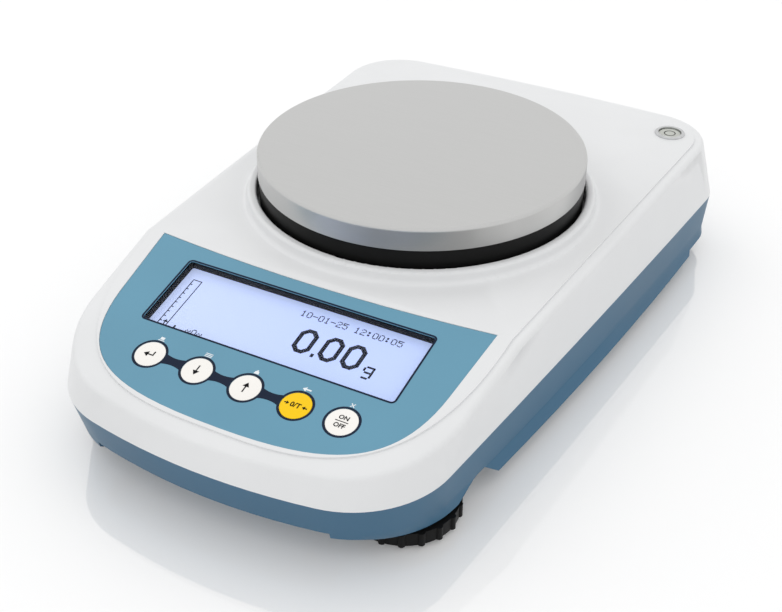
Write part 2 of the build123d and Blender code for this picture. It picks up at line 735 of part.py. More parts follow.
def pan_support():
    """Black dish below the pan: plate, stepped skirt, radial ribs and the socket on the post."""
    plate = standing(SUPPORT_INNER_R, SKIRT_TOP - SUPPORT_T, SUPPORT_TOP, 0, PAN_Y)
    skirt = standing(SUPPORT_R, SKIRT_LOW, SKIRT_TOP, 0, PAN_Y)
    under = standing(SUPPORT_R - SUPPORT_T, SKIRT_LOW, SKIRT_TOP - SUPPORT_T, 0, PAN_Y)
    recess = standing(SUPPORT_INNER_R - SUPPORT_T, SKIRT_TOP - SUPPORT_T, SUPPORT_TOP - SUPPORT_T, 0, PAN_Y)
    dish = plate + skirt - under - recess
    hub_low = WELL_Z + 1.5
    hub_r = BOSS_R - 2.2
    hub = standing(hub_r, hub_low, SUPPORT_TOP - SUPPORT_T, 0, PAN_Y)
    dish += hub
    for i in range(SUPPORT_RIBS):
        rib = Pos(0, PAN_Y, SUPPORT_TOP - SUPPORT_T) * Rot(0, 0, i * 360 / SUPPORT_RIBS) * Pos(
            (hub_r + SUPPORT_INNER_R) / 2 - 1.0, 0, 0
        ) * Box(SUPPORT_INNER_R - hub_r, 1.6, 6.0, align=(Align.CENTER, Align.CENTER, Align.MAX))
        dish += rib
    dish -= standing(POST_R + POST_FIT, hub_low, POST_TOP - 4.0, 0, PAN_Y)
    dish -= Pos(0, PAN_Y, POST_TOP - 4.0) * Cone(
        POST_R + POST_FIT, 3.0 + POST_FIT, 4.0 + POST_FIT, align=(Align.CENTER, Align.CENTER, Align.MIN)
    )
    for x, y in cushion_places():
        dish -= standing(CUSHION_R + 0.1, SUPPORT_TOP - CUSHION_SEAT, SUPPORT_TOP + 1.0, x, y)
    return dish


def cushion_places():
    return [
        (CUSHION_AT * math.cos(math.radians(a)), PAN_Y + CUSHION_AT * math.sin(math.radians(a)))
        for a in (22.5, 112.5, 202.5, 292.5)
    ]


def pan_cushions():
    low = SUPPORT_TOP - CUSHION_SEAT
    return Compound([standing(CUSHION_R, low, low + CUSHION_T, x, y) for x, y in cushion_places()])


MOUNT_Z = TRAY_UNDER_Z + SHELL_WALL + MOUNT_BOSS
CELL_Z = MOUNT_Z + MOUNT_T + SPACER_T
CELL_TOP = CELL_Z + CELL_H
CELL_FRONT = PAN_Y - CELL_L / 2
CELL_REAR = PAN_Y + CELL_L / 2


def cell_screw_places(y_end, toward):
    return [(sx * 8.0, y_end + toward * 9.0) for sx in SIDES]


def load_cell():
    """Aluminium cell: two pairs of thin flexures above and below a dumb-bell shaped cut-out."""
    block = Pos(0, PAN_Y, CELL_Z) * Box(CELL_W, CELL_L, CELL_H, align=(Align.CENTER, Align.CENTER, Align.MIN))
    mid = CELL_Z + CELL_H / 2
    lift = CELL_H / 2 - CELL_SKIN - CELL_HOLE_R
    for sy in SIDES:
        for sz in SIDES:
            block -= Pos(0, PAN_Y + sy * CELL_HOLE_AT, mid + sz * lift) * Rot(0, 90, 0) * Cylinder(CELL_HOLE_R, CELL_W + 2)
        block -= Pos(0, PAN_Y + sy * CELL_HOLE_AT, mid) * Box(CELL_W + 2, 2 * CELL_HOLE_R * 0.8, 2 * lift)
    block -= Pos(0, PAN_Y, mid) * Box(CELL_W + 2, 2 * CELL_HOLE_AT, 5.0)
    for x, y in cell_screw_places(CELL_FRONT, 1):
        block -= standing(CAP_SCREW_R + 0.2, CELL_TOP - 12.0, CELL_TOP, x, y)
    for x, y in cell_screw_places(CELL_REAR, -1):
        block -= standing(CAP_SCREW_R + 0.2, CELL_Z, CELL_TOP - 5.0, x, y)
    return block


def cell_mount():
    """Plate on the tray's bosses, with the raised seat for the fixed end of the cell."""
    plate = Pos(0, PAN_Y, MOUNT_Z) * Box(MOUNT_W, MOUNT_L, MOUNT_T, align=(Align.CENTER, Align.CENTER, Align.MIN))
    plate = fillet(plate.edges().filter_by(Axis.Z), 5.0)
    seat = Pos(0, CELL_REAR, MOUNT_Z + MOUNT_T) * Box(
        CELL_W, CELL_END, SPACER_T, align=(Align.CENTER, Align.MAX, Align.MIN)
    )
    plate += seat
    for x, y in cell_screw_places(CELL_REAR, -1):
        plate -= standing(CAP_SCREW_R + 0.3, MOUNT_Z, CELL_Z, x, y)
        plate -= standing(CAP_HEAD_R + 0.4, MOUNT_Z, MOUNT_Z + 2.0, x, y)
    for x, y in mount_places():
        plate -= standing(1.9, MOUNT_Z, MOUNT_Z + MOUNT_T, x, y)
    plate -= standing(STOP_R + 0.15, MOUNT_Z, MOUNT_Z + MOUNT_T, 0, stop_y())
    return plate


def stop_y():
    return CELL_FRONT + CELL_END / 2


def mount_screws():
    """Pan-head screws through the corners of the mount."""
    top = MOUNT_Z + MOUNT_T
    return Compound(
        [standing(3.2, top, top + 2.2, x, y) + standing(1.5, top - MOUNT_T - 3.0, top, x, y) for x, y in mount_places()]
    )


def cell_screws():
    """Two cap screws from below into the fixed end."""
    head = MOUNT_Z + 2.0
    low = head - 2.0
    return Compound(
        [
            standing(CAP_HEAD_R, low - 1.2, head, x, y) + standing(CAP_SCREW_R, head, CELL_Z + 12.0, x, y)
            for x, y in cell_screw_places(CELL_REAR, -1)
        ]
    )


def overload_stop():
    """Stop screw below the free end, with its lock nut on the mount."""
    top = MOUNT_Z + MOUNT_T
    nut = Pos(0, stop_y(), top) * extrude(RegularPolygon(4.6, 6), CELL_Z - top - STOP_GAP - 0.4)
    return standing(STOP_R, MOUNT_Z - 2.0, CELL_Z - STOP_GAP, 0, stop_y()) + nut


def load_post():
    """Bracket on the free end, reaching back to the upright post below the middle of the pan."""
    pad_z = CELL_TOP + CELL_FREE
    plate_z = pad_z + BRACKET_PAD
    pad = Pos(0, CELL_FRONT, pad_z) * Box(CELL_W, CELL_END - 8.0, BRACKET_PAD, align=(Align.CENTER, Align.MIN, Align.MIN))
    length = PAN_Y + 2.0 * POST_R - CELL_FRONT
    plate = Pos(0, CELL_FRONT, plate_z) * Box(CELL_W, length, BRACKET_T, align=(Align.CENTER, Align.MIN, Align.MIN))
    plate = fillet(plate.edges().filter_by(Axis.Z).sort_by(Axis.Y)[-2:], CELL_W / 2 - 0.5)
    post = standing(POST_R, plate_z, POST_TOP - 4.0, 0, PAN_Y)
    tip = Pos(0, PAN_Y, POST_TOP - 4.0) * Cone(POST_R, 3.0, 4.0, align=(Align.CENTER, Align.CENTER, Align.MIN))
    body = pad + plate + post + tip
    for x, y in cell_screw_places(CELL_FRONT, 1):
        body -= standing(CAP_SCREW_R + 0.2, pad_z, plate_z + BRACKET_T, x, y)
        body -= standing(CAP_HEAD_R + 0.3, plate_z + BRACKET_T - 2.6, plate_z + BRACKET_T, x, y)
    return body


def load_post_screws():
    """Low-head screws that would clamp the bracket; their shanks run free in the cell."""
    seat = CELL_TOP + CELL_FREE + BRACKET_PAD + BRACKET_T - 2.6
    return Compound(
        [
            standing(CAP_HEAD_R, seat, seat + 2.4, x, y) + standing(CAP_SCREW_R - 0.2, CELL_TOP - 9.0, seat, x, y)
            for x, y in cell_screw_places(CELL_FRONT, 1)
        ]
    )


def foot_pad(x, y):
    """Soft pad on the table with the peg that centres it below the stud."""
    pad = standing(PAD_R, 0, PAD_H, x, y)
    pad = chamfer(pad.edges().sort_by(Axis.Z)[0], 0.4)
    return pad + standing(PAD_PEG_R, PAD_H, PAD_H + PAD_PEG_H, x, y)


WHEEL_Z = PAD_H + RUN_GAP


def foot_wheel(x, y):
    """Ribbed thumb wheel: rim, web and hub, with raised grips round the rim."""
    top = WHEEL_Z + WHEEL_H
    rim = standing(WHEEL_R, WHEEL_Z, top) - standing(WHEEL_R - 2.2, WHEEL_Z, top - WHEEL_WEB)
    hub = standing(WHEEL_HUB_R, WHEEL_Z, top)
    wheel = rim + hub
    grip = Pos(WHEEL_R - 0.4, 0, WHEEL_Z) * Cylinder(WHEEL_RIB + 0.4, WHEEL_H, align=(Align.CENTER, Align.CENTER, Align.MIN))
    for i in range(WHEEL_RIBS):
        wheel += Rot(0, 0, WHEEL_TURN + i * 360 / WHEEL_RIBS) * grip
    wheel -= standing(STUD_R, WHEEL_Z, top)
    return Pos(x, y, 0) * wheel


def foot_stud(x, y):
    """Steel stud in the wheel's hub, bored below for the pad's peg."""
    stud = standing(STUD_R, WHEEL_Z, STUD_TOP, x, y)
    stud = chamfer(stud.edges().sort_by(Axis.Z)[-1], 0.6)
    return stud - standing(PAD_PEG_R + RUN_GAP, WHEEL_Z, PAD_H + PAD_PEG_H + RUN_GAP, x, y)


def foot_inserts():
    """Brass insert in each boss of the tray."""
    top = STUD_TOP + 1.0
    inserts = []
    for x, y in foot_places().values():
        sleeve = standing(STUD_R + THREAD_FIT + INSERT_WALL, top - INSERT_H, top, x, y)
        inserts.append(sleeve - standing(STUD_R + THREAD_FIT, top - INSERT_H, top, x, y))
    return Compound(inserts)


def case_screws():
    """Screws from below through the tray into the cover's bosses."""
    seat = JOINT_Z - 6.0
    return Compound(
        [
            standing(CASE_HEAD_R, seat - CASE_HEAD_H, seat, x, y) + standing(CASE_SCREW_R - 0.3, seat, JOINT_Z + CASE_BITE - 1.0, x, y)
            for x, y in case_places()
        ]
    )


def main_board():
    y0 = POCKET_Y - SHELL_WALL - MAIN_REAR_GAP - MAIN_D
    board = Pos(0, y0, MAIN_Z) * Box(MAIN_W, MAIN_D, BOARD_T, align=(Align.CENTER, Align.MIN, Align.MIN))
    for x, y in main_places():
        board -= standing(1.6, MAIN_Z, MAIN_Z + BOARD_T, x, y)
    return board


def board_screws():
    top = MAIN_Z + BOARD_T
    return Compound([standing(2.8, top, top + 1.6, x, y) + standing(1.2, top - 8.0, top, x, y) for x, y in main_places()])


def serial_socket():
    """Nine-way socket: body on the board, flange behind the wall, shaped shell through it."""
    face = socket_z()
    inside = POCKET_Y - SHELL_WALL
    body = Pos(SERIAL_X, inside, face) * Box(SERIAL_W, SERIAL_BODY, SERIAL_H, align=(Align.CENTER, Align.MAX, Align.CENTER))
    body -= Pos(SERIAL_X, inside - SERIAL_FLANGE, face) * Box(
        SERIAL_W + 1, SERIAL_BODY, SERIAL_H + 1, align=(Align.CENTER, Align.MAX, Align.CENTER)
    ) - Pos(SERIAL_X, inside, face) * Box(SERIAL_SHELL_W + 2.0, 40, SERIAL_H + 2, align=(Align.CENTER, Align.CENTER, Align.CENTER))
    wide = SERIAL_SHELL_W / 2
    high = SERIAL_SHELL_H / 2
    with BuildSketch(Plane(origin=(SERIAL_X, inside, face), x_dir=(1, 0, 0), z_dir=(0, 1, 0))) as shape:
        with BuildLine():
            Polyline((-wide, high), (wide, high), (wide - 1.4, -high), (-wide + 1.4, -high), close=True)
        make_face()
        fillet(shape.vertices(), 1.8)
    body += extrude(shape.sketch, SHELL_WALL + SERIAL_SHELL_OUT)
    for side in SIDES:
        body -= Pos(SERIAL_X + side * SERIAL_PITCH / 2, inside, face) * Rot(90, 0, 0) * Cylinder(LOCK_SHANK_R + 0.15, 30)
    return body


def serial_screwlocks():
    """Hexagonal lock posts beside the socket, each with a threaded hole."""
    locks = []
    for side in SIDES:
        place = Plane(origin=(SERIAL_X + side * SERIAL_PITCH / 2, POCKET_Y, socket_z()), x_dir=(1, 0, 0), z_dir=(0, 1, 0))
        post = place * extrude(RegularPolygon(LOCK_HEX / math.sqrt(3), 6), LOCK_OUT)
        shank = place * extrude(Circle(LOCK_SHANK_R), -(SHELL_WALL + 3.0))
        locks.append(post + shank - place * Pos(0, 0, LOCK_OUT) * extrude(Circle(LOCK_HOLE_R), -LOCK_OUT + 0.5))
    return Compound(locks)


def dc_socket():
    """Round power inlet with its centre pin."""
    inside = POCKET_Y - SHELL_WALL
    face = socket_z()
    low = MAIN_Z + BOARD_T
    body = Pos(DC_X, inside, low) * Box(DC_W, DC_L, DC_H, align=(Align.CENTER, Align.MAX, Align.MIN))
    mouth = Plane(origin=(DC_X, inside, face), x_dir=(1, 0, 0), z_dir=(0, 1, 0))
    body += mouth * extrude(Circle(DC_NOSE_R), SHELL_WALL)
    body -= mouth * Pos(0, 0, SHELL_WALL) * extrude(Circle(DC_BORE_R), -10.0)
    body += mouth * Pos(0, 0, SHELL_WALL - 1.0) * extrude(Circle(DC_PIN_R), -9.5)
    return body


def level_cup():
    """Metal cup of the bubble level, with its flange as the ring on the deck."""
    deck = DECK_Z + PLATEAU_RISE
    cup = standing(LEVEL_BORE_R + LEVEL_FLANGE - LEVEL_FIT, deck - LEVEL_DEEP, deck, LEVEL_X, LEVEL_Y)
    flange = standing(LEVEL_R, deck, deck + LEVEL_FLANGE, LEVEL_X, LEVEL_Y)
    flange = chamfer(flange.edges().sort_by(Axis.Z)[-1], 0.4)
    return cup + flange - standing(VIAL_R + 0.1, deck - LEVEL_DEEP + 1.0, deck + LEVEL_FLANGE, LEVEL_X, LEVEL_Y)


def level_vial():
    """Clear vial with a slightly domed top."""
    low = DECK_Z + PLATEAU_RISE - LEVEL_DEEP + 1.0
    vial = standing(VIAL_R, low, low + VIAL_H, LEVEL_X, LEVEL_Y)
    return chamfer(vial.edges().sort_by(Axis.Z)[-1], 0.4)


def display_ribbon():
    """Flat ribbon from the display board, along the tray's side, up to the main board."""
    tray = TRAY_UNDER_Z + SHELL_WALL + 1.0
    start_y = PANEL_TOP_Y - 6.0
    start_z = DECK_Z - BOARD_TOP - BOARD_T - 3.2
    end_y = POCKET_Y - SHELL_WALL - MAIN_REAR_GAP - MAIN_D + 4.0
    with BuildLine(Plane.YZ) as path:
        FilletPolyline(
            (start_y, start_z),
            (start_y, tray),
            (end_y + 1.0, tray),
            (end_y + 1.0, MAIN_Z - 0.2),
            radius=6.0,
        )
    with BuildSketch(Plane(origin=(0, start_y, start_z), x_dir=(1, 0, 0), z_dir=(0, 0, -1))) as band:
        Rectangle(RIBBON_W, RIBBON_T)
    ribbon = sweep(band.sketch, path.line)
    return Pos(RIBBON_X, 0, 0) * ribbon


def write(name, shape, label=None):
    shape.label = label or name
    export_step(shape, os.path.join("parts", name + ".step"))


def main():
    os.makedirs("parts", exist_ok=True)
    single = [
        top_cover,
        base_tray,
        front_overlay,
        display_window,
        display_frame,
        lcd_glass,
        backlight,
        display_board,
        display_screws,
        key_switches,
        weighing_pan,
        pan_support,
        pan_cushions,
        load_post,
        load_post_screws,
        load_cell,
        cell_mount,
        cell_screws,
        mount_screws,
        overload_stop,
        foot_inserts,
        case_screws,
        main_board,
        board_screws,
        serial_socket,
        serial_screwlocks,
        dc_socket,
        level_cup,
        level_vial,
        display_ribbon,
    ]
    for make in single:
        write(make.__name__, make())
    for name, x, y in key_places():
        write(name, key_cap(x, y))
    for corner, (x, y) in foot_places().items():
        write("foot_pad_" + corner, foot_pad(x, y))
        write("foot_wheel_" + corner, foot_wheel(x, y))
        write("foot_stud_" + corner, foot_stud(x, y))


main()
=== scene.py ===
# %% [markdown]
# # A precision balance, dressed for its portrait
# The engineering model already exists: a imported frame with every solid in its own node. This lesson
# loads that frame, lights it like a product photograph, and gives each surface the finish of the real thing.

# %% Load the frame
import bmesh
import bpy
import json
import math
from mathutils import Matrix, Vector


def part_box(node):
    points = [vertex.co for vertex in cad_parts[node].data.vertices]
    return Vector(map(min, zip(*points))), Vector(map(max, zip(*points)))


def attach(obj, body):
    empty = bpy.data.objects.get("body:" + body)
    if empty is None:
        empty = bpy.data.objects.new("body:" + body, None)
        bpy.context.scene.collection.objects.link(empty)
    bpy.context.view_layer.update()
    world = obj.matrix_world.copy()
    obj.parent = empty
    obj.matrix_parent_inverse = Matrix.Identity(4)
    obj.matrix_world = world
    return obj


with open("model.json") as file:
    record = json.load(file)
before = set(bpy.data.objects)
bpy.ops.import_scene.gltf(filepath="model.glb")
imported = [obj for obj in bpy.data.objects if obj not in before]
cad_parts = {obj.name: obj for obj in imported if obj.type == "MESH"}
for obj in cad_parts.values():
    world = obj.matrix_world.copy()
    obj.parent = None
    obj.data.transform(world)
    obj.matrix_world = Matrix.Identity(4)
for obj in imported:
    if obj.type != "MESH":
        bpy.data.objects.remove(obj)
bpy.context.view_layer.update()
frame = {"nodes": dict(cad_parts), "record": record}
nodes = frame["nodes"]
MM = 0.001

# %% [markdown]
# ## The camera
# The photograph was taken from the front right with a medium telephoto lens. Three directions and a point
# describe the camera fully, so nothing has to be aimed by eye.

# %% Camera
LENS_MM, SENSOR_MM = 59.86, 36.0
EYE = (0.2604, -0.4850, 0.3753)
VIEW_RIGHT = (0.8756, 0.4830, 0.0050)
VIEW_BACK = (0.4001, -0.7311, 0.5527)

scene = bpy.context.scene
lens = bpy.data.cameras.new("portrait_lens")
lens.lens = LENS_MM
lens.sensor_width = SENSOR_MM
camera = bpy.data.objects.new("portrait_camera", lens)
right = Vector(VIEW_RIGHT).normalized()
back = Vector(VIEW_BACK)
back = (back - right * back.dot(right)).normalized()
up = back.cross(right)
turn = Matrix((right, up, back)).transposed().to_4x4()
camera.matrix_world = Matrix.Translation(EYE) @ turn
scene.collection.objects.link(camera)
scene.camera = camera
scene.view_settings.view_transform = "Standard"
print("camera at", tuple(round(x, 3) for x in camera.location))

# %% [markdown]
# ## Small helpers for nodes
# A material is a little graph. Two helpers above all keep the graphs readable: one turns a colour as a screen
# shows it into the linear colour that Blender mixes, the other adds a node and sets its sockets by name. The
# rest start an empty group or find a socket or a shader again.

# %% Node helpers
def screen(red, green, blue):
    """Linear colour of a screen colour given from 0 to 255, by the sRGB curve."""
    tones = (red, green, blue)
    return tuple(((c / 255 + 0.055) / 1.055) ** 2.4 if c > 10 else c / 255 / 12.92 for c in tones)


def add(tree, kind, place=(0, 0), settings=None, **sockets):
    """New node in a tree; settings are its properties, sockets its input values."""
    node = tree.nodes.new(kind)
    node.location = place
    for key, value in (settings or {}).items():
        setattr(node, key, value)
    for key, value in sockets.items():
        node.inputs[key.replace("_", " ")].default_value = value
    return node


def new_group(name, kind, inputs, outputs):
    """Empty node group with named sockets; inputs are (name, type, default)."""
    tree = bpy.data.node_groups.new(name, kind)
    for label, socket, default in inputs:
        made = tree.interface.new_socket(name=label, in_out="INPUT", socket_type=socket)
        if default is not None:
            made.default_value = default
    for label, socket in outputs:
        tree.interface.new_socket(name=label, in_out="OUTPUT", socket_type=socket)
    enter = add(tree, "NodeGroupInput", (-900, 0))
    leave = add(tree, "NodeGroupOutput", (600, 0))
    return tree, enter, leave


def colour_socket(sockets, name):
    """The colour socket of a Mix node, which has one socket of each name for every kind of data."""
    return next(s for s in sockets if s.name == name and s.type == "RGBA")


def shader_of(material):
    """The Principled shader of a material."""
    return next(n for n in material.node_tree.nodes if n.type == "BSDF_PRINCIPLED")


FLOAT = "NodeSocketFloat"
SPREAD_LOW, SPREAD_HIGH = 0.3, 0.7  # noise seldom leaves this range, so it is stretched from here
print("helpers ready")

# %% [markdown]
# ## Surface effects as shader groups
# Moulded plastic is never perfectly even. The mould is spark-eroded, which leaves a fine grain that softens
# highlights, and the colour drifts a little over a hand's width. One group makes both, and each plastic sets
# how coarse and how deep its own grain is.

# %% Moulded grain
grain_tree, enter, leave = new_group(
    "moulded_grain",
    "ShaderNodeTree",
    [
        ("Grain Size", FLOAT, 2500.0),
        ("Drift Size", FLOAT, 14.0),
        ("Smooth", FLOAT, 0.35),
        ("Rough", FLOAT, 0.45),
    ],
    [("Drift", FLOAT), ("Roughness", FLOAT), ("Height", FLOAT)],
)
where = add(grain_tree, "ShaderNodeTexCoord", (-900, 300))
fine = add(grain_tree, "ShaderNodeTexNoise", (-600, 200), Detail=2.0, Roughness=0.6)
wide = add(grain_tree, "ShaderNodeTexNoise", (-600, -100), Detail=3.0, Roughness=0.55)
spread = add(grain_tree, "ShaderNodeMapRange", (-200, -100), From_Min=SPREAD_LOW, From_Max=SPREAD_HIGH)
links = grain_tree.links
links.new(where.outputs["Object"], fine.inputs["Vector"])
links.new(where.outputs["Object"], wide.inputs["Vector"])
links.new(enter.outputs["Grain Size"], fine.inputs["Scale"])
links.new(enter.outputs["Drift Size"], wide.inputs["Scale"])
links.new(wide.outputs["Fac"], spread.inputs["Value"])
links.new(enter.outputs["Smooth"], spread.inputs["To Min"])
links.new(enter.outputs["Rough"], spread.inputs["To Max"])
links.new(wide.outputs["Fac"], leave.inputs["Drift"])
links.new(spread.outputs["Result"], leave.inputs["Roughness"])
links.new(fine.outputs["Fac"], leave.inputs["Height"])
print("group", grain_tree.name)

# %% [markdown]
# Brushed metal is the same idea pulled out in one direction: noise that changes quickly across the brush
# marks and slowly along them. A Mapping node does the pulling, in a direction that each material chooses.

# %% Brushed lines
brush_tree, enter, leave = new_group(
    "brushed_lines",
    "ShaderNodeTree",
    [("Vector", "NodeSocketVector", None), ("Smooth", FLOAT, 0.25), ("Rough", FLOAT, 0.4)],
    [("Streaks", FLOAT), ("Roughness", FLOAT), ("Height", FLOAT)],
)
lines = add(brush_tree, "ShaderNodeTexNoise", (-500, 100), Scale=1.0, Detail=3.0, Roughness=0.7)
spread = add(brush_tree, "ShaderNodeMapRange", (-200, -100), From_Min=SPREAD_LOW, From_Max=SPREAD_HIGH)
links = brush_tree.links
links.new(enter.outputs["Vector"], lines.inputs["Vector"])
links.new(lines.outputs["Fac"], spread.inputs["Value"])
links.new(enter.outputs["Smooth"], spread.inputs["To Min"])
links.new(enter.outputs["Rough"], spread.inputs["To Max"])
links.new(lines.outputs["Fac"], leave.inputs["Streaks"])
links.new(lines.outputs["Fac"], leave.inputs["Height"])
links.new(spread.outputs["Result"], leave.inputs["Roughness"])
print("group", brush_tree.name)

# %% [markdown]
# ## From effect to material
# Each material holds its own Principled shader. The groups only hand over masks, roughness and height.
# One row of a table describes a moulded material: its tone on screen, how far the tone drifts, the range of
# its roughness, the fineness and depth in millimetres of its grain, and how strongly it shines.

# %% Plastics, rubber and paint
def blank(name):
    """Material with an empty graph, its shader and its output."""
    material = bpy.data.materials.new(name)
    material.use_nodes = True
    tree = material.node_tree
    tree.nodes.clear()
    shader = add(tree, "ShaderNodeBsdfPrincipled", (300, 0))
    output = add(tree, "ShaderNodeOutputMaterial", (600, 0))
    tree.links.new(shader.outputs["BSDF"], output.inputs["Surface"])
    return material, tree, shader


def around_tone(tone, drift):
    """Dark and light linear colour on both sides of a screen colour."""
    return screen(*(c * (1 - drift) for c in tone)), screen(*(min(255, c * (1 + drift)) for c in tone))


def two_tone(tree, shader, mask, dark, light, low=0.35, high=0.65):
    """Base colour that runs from a dark to a light tone with a mask."""
    ramp = add(tree, "ShaderNodeValToRGB", (0, 200))
    ramp.color_ramp.elements[0].position = low
    ramp.color_ramp.elements[0].color = (*dark, 1)
    ramp.color_ramp.elements[1].position = high
    ramp.color_ramp.elements[1].color = (*light, 1)
    tree.links.new(mask, ramp.inputs["Fac"])
    tree.links.new(ramp.outputs["Color"], shader.inputs["Base Color"])
    return ramp


def surface(tree, shader, effect, depth):
    """Takes roughness and a bump of a depth in millimetres from an effect group."""
    bump = add(tree, "ShaderNodeBump", (0, -250), Strength=1.0, Distance=depth * MM)
    tree.links.new(effect.outputs["Roughness"], shader.inputs["Roughness"])
    tree.links.new(effect.outputs["Height"], bump.inputs["Height"])
    tree.links.new(bump.outputs["Normal"], shader.inputs["Normal"])


def moulded(name, tone, drift, smooth, rough, fineness, depth, shine):
    """Moulded material round one screen colour."""
    material, tree, shader = blank(name)
    kind = {"node_tree": grain_tree}
    effect = add(tree, "ShaderNodeGroup", (-300, 0), kind, Grain_Size=fineness, Smooth=smooth, Rough=rough)
    two_tone(tree, shader, effect.outputs["Drift"], *around_tone(tone, drift))
    surface(tree, shader, effect, depth)
    shader.inputs["Specular IOR Level"].default_value = shine
    return material


MOULDED = {
    "cover_white": ((229, 230, 231), 0.008, 0.30, 0.38, 2200.0, 0.010, 0.5),
    "tray_blue": ((69, 107, 134), 0.02, 0.34, 0.44, 2200.0, 0.012, 0.2),
    "film_blue": ((104, 155, 179), 0.012, 0.40, 0.48, 5000.0, 0.004, 0.25),
    "black_plastic": ((14, 14, 14), 0.12, 0.40, 0.55, 2500.0, 0.010, 0.15),
    "rubber_black": ((30, 30, 31), 0.10, 0.6, 0.75, 1500.0, 0.03, 0.3),
    "board_green": ((24, 98, 62), 0.10, 0.25, 0.35, 900.0, 0.01, 0.5),
    "ribbon_grey": ((150, 154, 160), 0.05, 0.35, 0.45, 900.0, 0.01, 0.5),
    "backlight_white": ((226, 234, 248), 0.02, 0.5, 0.6, 900.0, 0.005, 0.5),
    "key_white": ((248, 245, 240), 0.008, 0.25, 0.33, 3000.0, 0.004, 0.5),
    "key_yellow": ((252, 205, 0), 0.01, 0.30, 0.38, 3000.0, 0.004, 0.25),
    "ink_navy": ((28, 38, 58), 0.05, 0.45, 0.55, 5000.0, 0.003, 0.1),
    "ink_black": ((14, 14, 16), 0.05, 0.5, 0.6, 5000.0, 0.003, 0.1),
    "ink_white": ((236, 242, 246), 0.01, 0.4, 0.5, 5000.0, 0.003, 0.5),
    "lcd_ink": ((24, 27, 40), 0.05, 0.6, 0.7, 4000.0, 0.002, 0.1),
}
finishes = {name: moulded(name, *row) for name, row in MOULDED.items()}
print("moulded finishes", len(finishes))

# %% [markdown]
# ## Metals
# The pan is stamped from brushed sheet, and its marks run straight across from left to right. The screws and
# brackets are plated or blasted and need only a soft streak. A row of the table holds the tone, the range of
# roughness, how much the noise is squeezed along each axis, the depth of the marks and the drift of the tone.

# %% Metals
def metal(name, tone, smooth, rough, squeeze, depth, drift):
    """Metal whose streaks are noise squeezed by a Mapping node."""
    material, tree, shader = blank(name)
    where = add(tree, "ShaderNodeTexCoord", (-900, 0))
    pull = add(tree, "ShaderNodeMapping", (-700, 0), Scale=squeeze)
    effect = add(tree, "ShaderNodeGroup", (-400, 0), {"node_tree": brush_tree}, Smooth=smooth, Rough=rough)
    tree.links.new(where.outputs["Object"], pull.inputs["Vector"])
    tree.links.new(pull.outputs["Vector"], effect.inputs["Vector"])
    two_tone(tree, shader, effect.outputs["Streaks"], *around_tone(tone, drift))
    surface(tree, shader, effect, depth)
    shader.inputs["Metallic"].default_value = 1.0
    return material


METALS = {
    "pan_steel": ((199, 199, 198), 0.32, 0.40, (60.0, 3500.0, 3500.0), 0.002, 0.012),
    "cast_aluminium": ((176, 178, 182), 0.45, 0.6, (800.0, 800.0, 800.0), 0.01, 0.05),
    "cell_aluminium": ((200, 202, 206), 0.22, 0.36, (40.0, 1200.0, 1200.0), 0.004, 0.05),
    "screw_steel": ((186, 188, 190), 0.22, 0.35, (900.0, 900.0, 200.0), 0.004, 0.05),
    "insert_brass": ((205, 168, 92), 0.25, 0.38, (200.0, 200.0, 2400.0), 0.004, 0.05),
    "socket_metal": ((192, 192, 188), 0.18, 0.3, (400.0, 400.0, 900.0), 0.004, 0.05),
    "level_metal": ((198, 199, 200), 0.15, 0.25, (400.0, 400.0, 900.0), 0.004, 0.05),
}
finishes.update({name: metal(name, *row) for name, row in METALS.items()})
print("metals", len(METALS))

# %% [markdown]
# The rim of the pan gets painted reflections: soft upright bands, light and dark in turn, painted into its
# colour in place of a studio mirrored in turned steel. A radial gradient round the pan's axis gives each place
# on the rim its angle, and a colour ramp draws the bands. The flat top keeps its even tone, so the painted
# bands are mixed in only below the rim's edge.

# %% Painted reflections round the rim
PAN_AXIS = (0.0, 21.0 * MM)
RIM_EDGE = 89.8 * MM
RIM_FADE = 0.6 * MM
# painted reflections: each stop is a place round the pan's axis and a factor that darkens the rim's tone there
RIM_PAINTED_REFLECTIONS = (
    (0.0, 0.65), (0.08, 0.85), (0.15, 1.0), (0.22, 1.0), (0.29, 0.66), (0.35, 0.60),
    (0.42, 0.86), (0.47, 1.0), (0.54, 0.70), (0.70, 0.95), (0.85, 0.6), (1.0, 0.65),
)
tree = finishes["pan_steel"].node_tree
shader = shader_of(finishes["pan_steel"])
even_tone = shader.inputs["Base Color"].links[0].from_socket
where = add(tree, "ShaderNodeTexCoord", (-900, 700))
centred = add(tree, "ShaderNodeMapping", (-700, 700), Location=(-PAN_AXIS[0], -PAN_AXIS[1], 0.0))
around = add(tree, "ShaderNodeTexGradient", (-500, 700), {"gradient_type": "RADIAL"})
# painted reflections: colour ramp of light and dark upright bands that is multiplied into the rim's colour
painted_reflections = add(tree, "ShaderNodeValToRGB", (-300, 700))
split = add(tree, "ShaderNodeSeparateXYZ", (-500, 950))
below = add(tree, "ShaderNodeMapRange", (-300, 950), To_Min=1.0, To_Max=0.0)
below.inputs["From Min"].default_value = RIM_EDGE - RIM_FADE
below.inputs["From Max"].default_value = RIM_EDGE
shade = add(tree, "ShaderNodeMix", (0, 700), {"data_type": "RGBA", "blend_type": "MULTIPLY"})
painted_reflections.color_ramp.interpolation = "EASE"
for i, (place, value) in enumerate(RIM_PAINTED_REFLECTIONS):
    stop = painted_reflections.color_ramp.elements[i] if i < 2 else painted_reflections.color_ramp.elements.new(place)
    stop.position = place
    stop.color = (value, value, value, 1)
tree.links.new(where.outputs["Object"], centred.inputs["Vector"])
tree.links.new(centred.outputs["Vector"], around.inputs["Vector"])
tree.links.new(around.outputs["Fac"], painted_reflections.inputs["Fac"])
tree.links.new(where.outputs["Object"], split.inputs["Vector"])
tree.links.new(split.outputs["Z"], below.inputs["Value"])
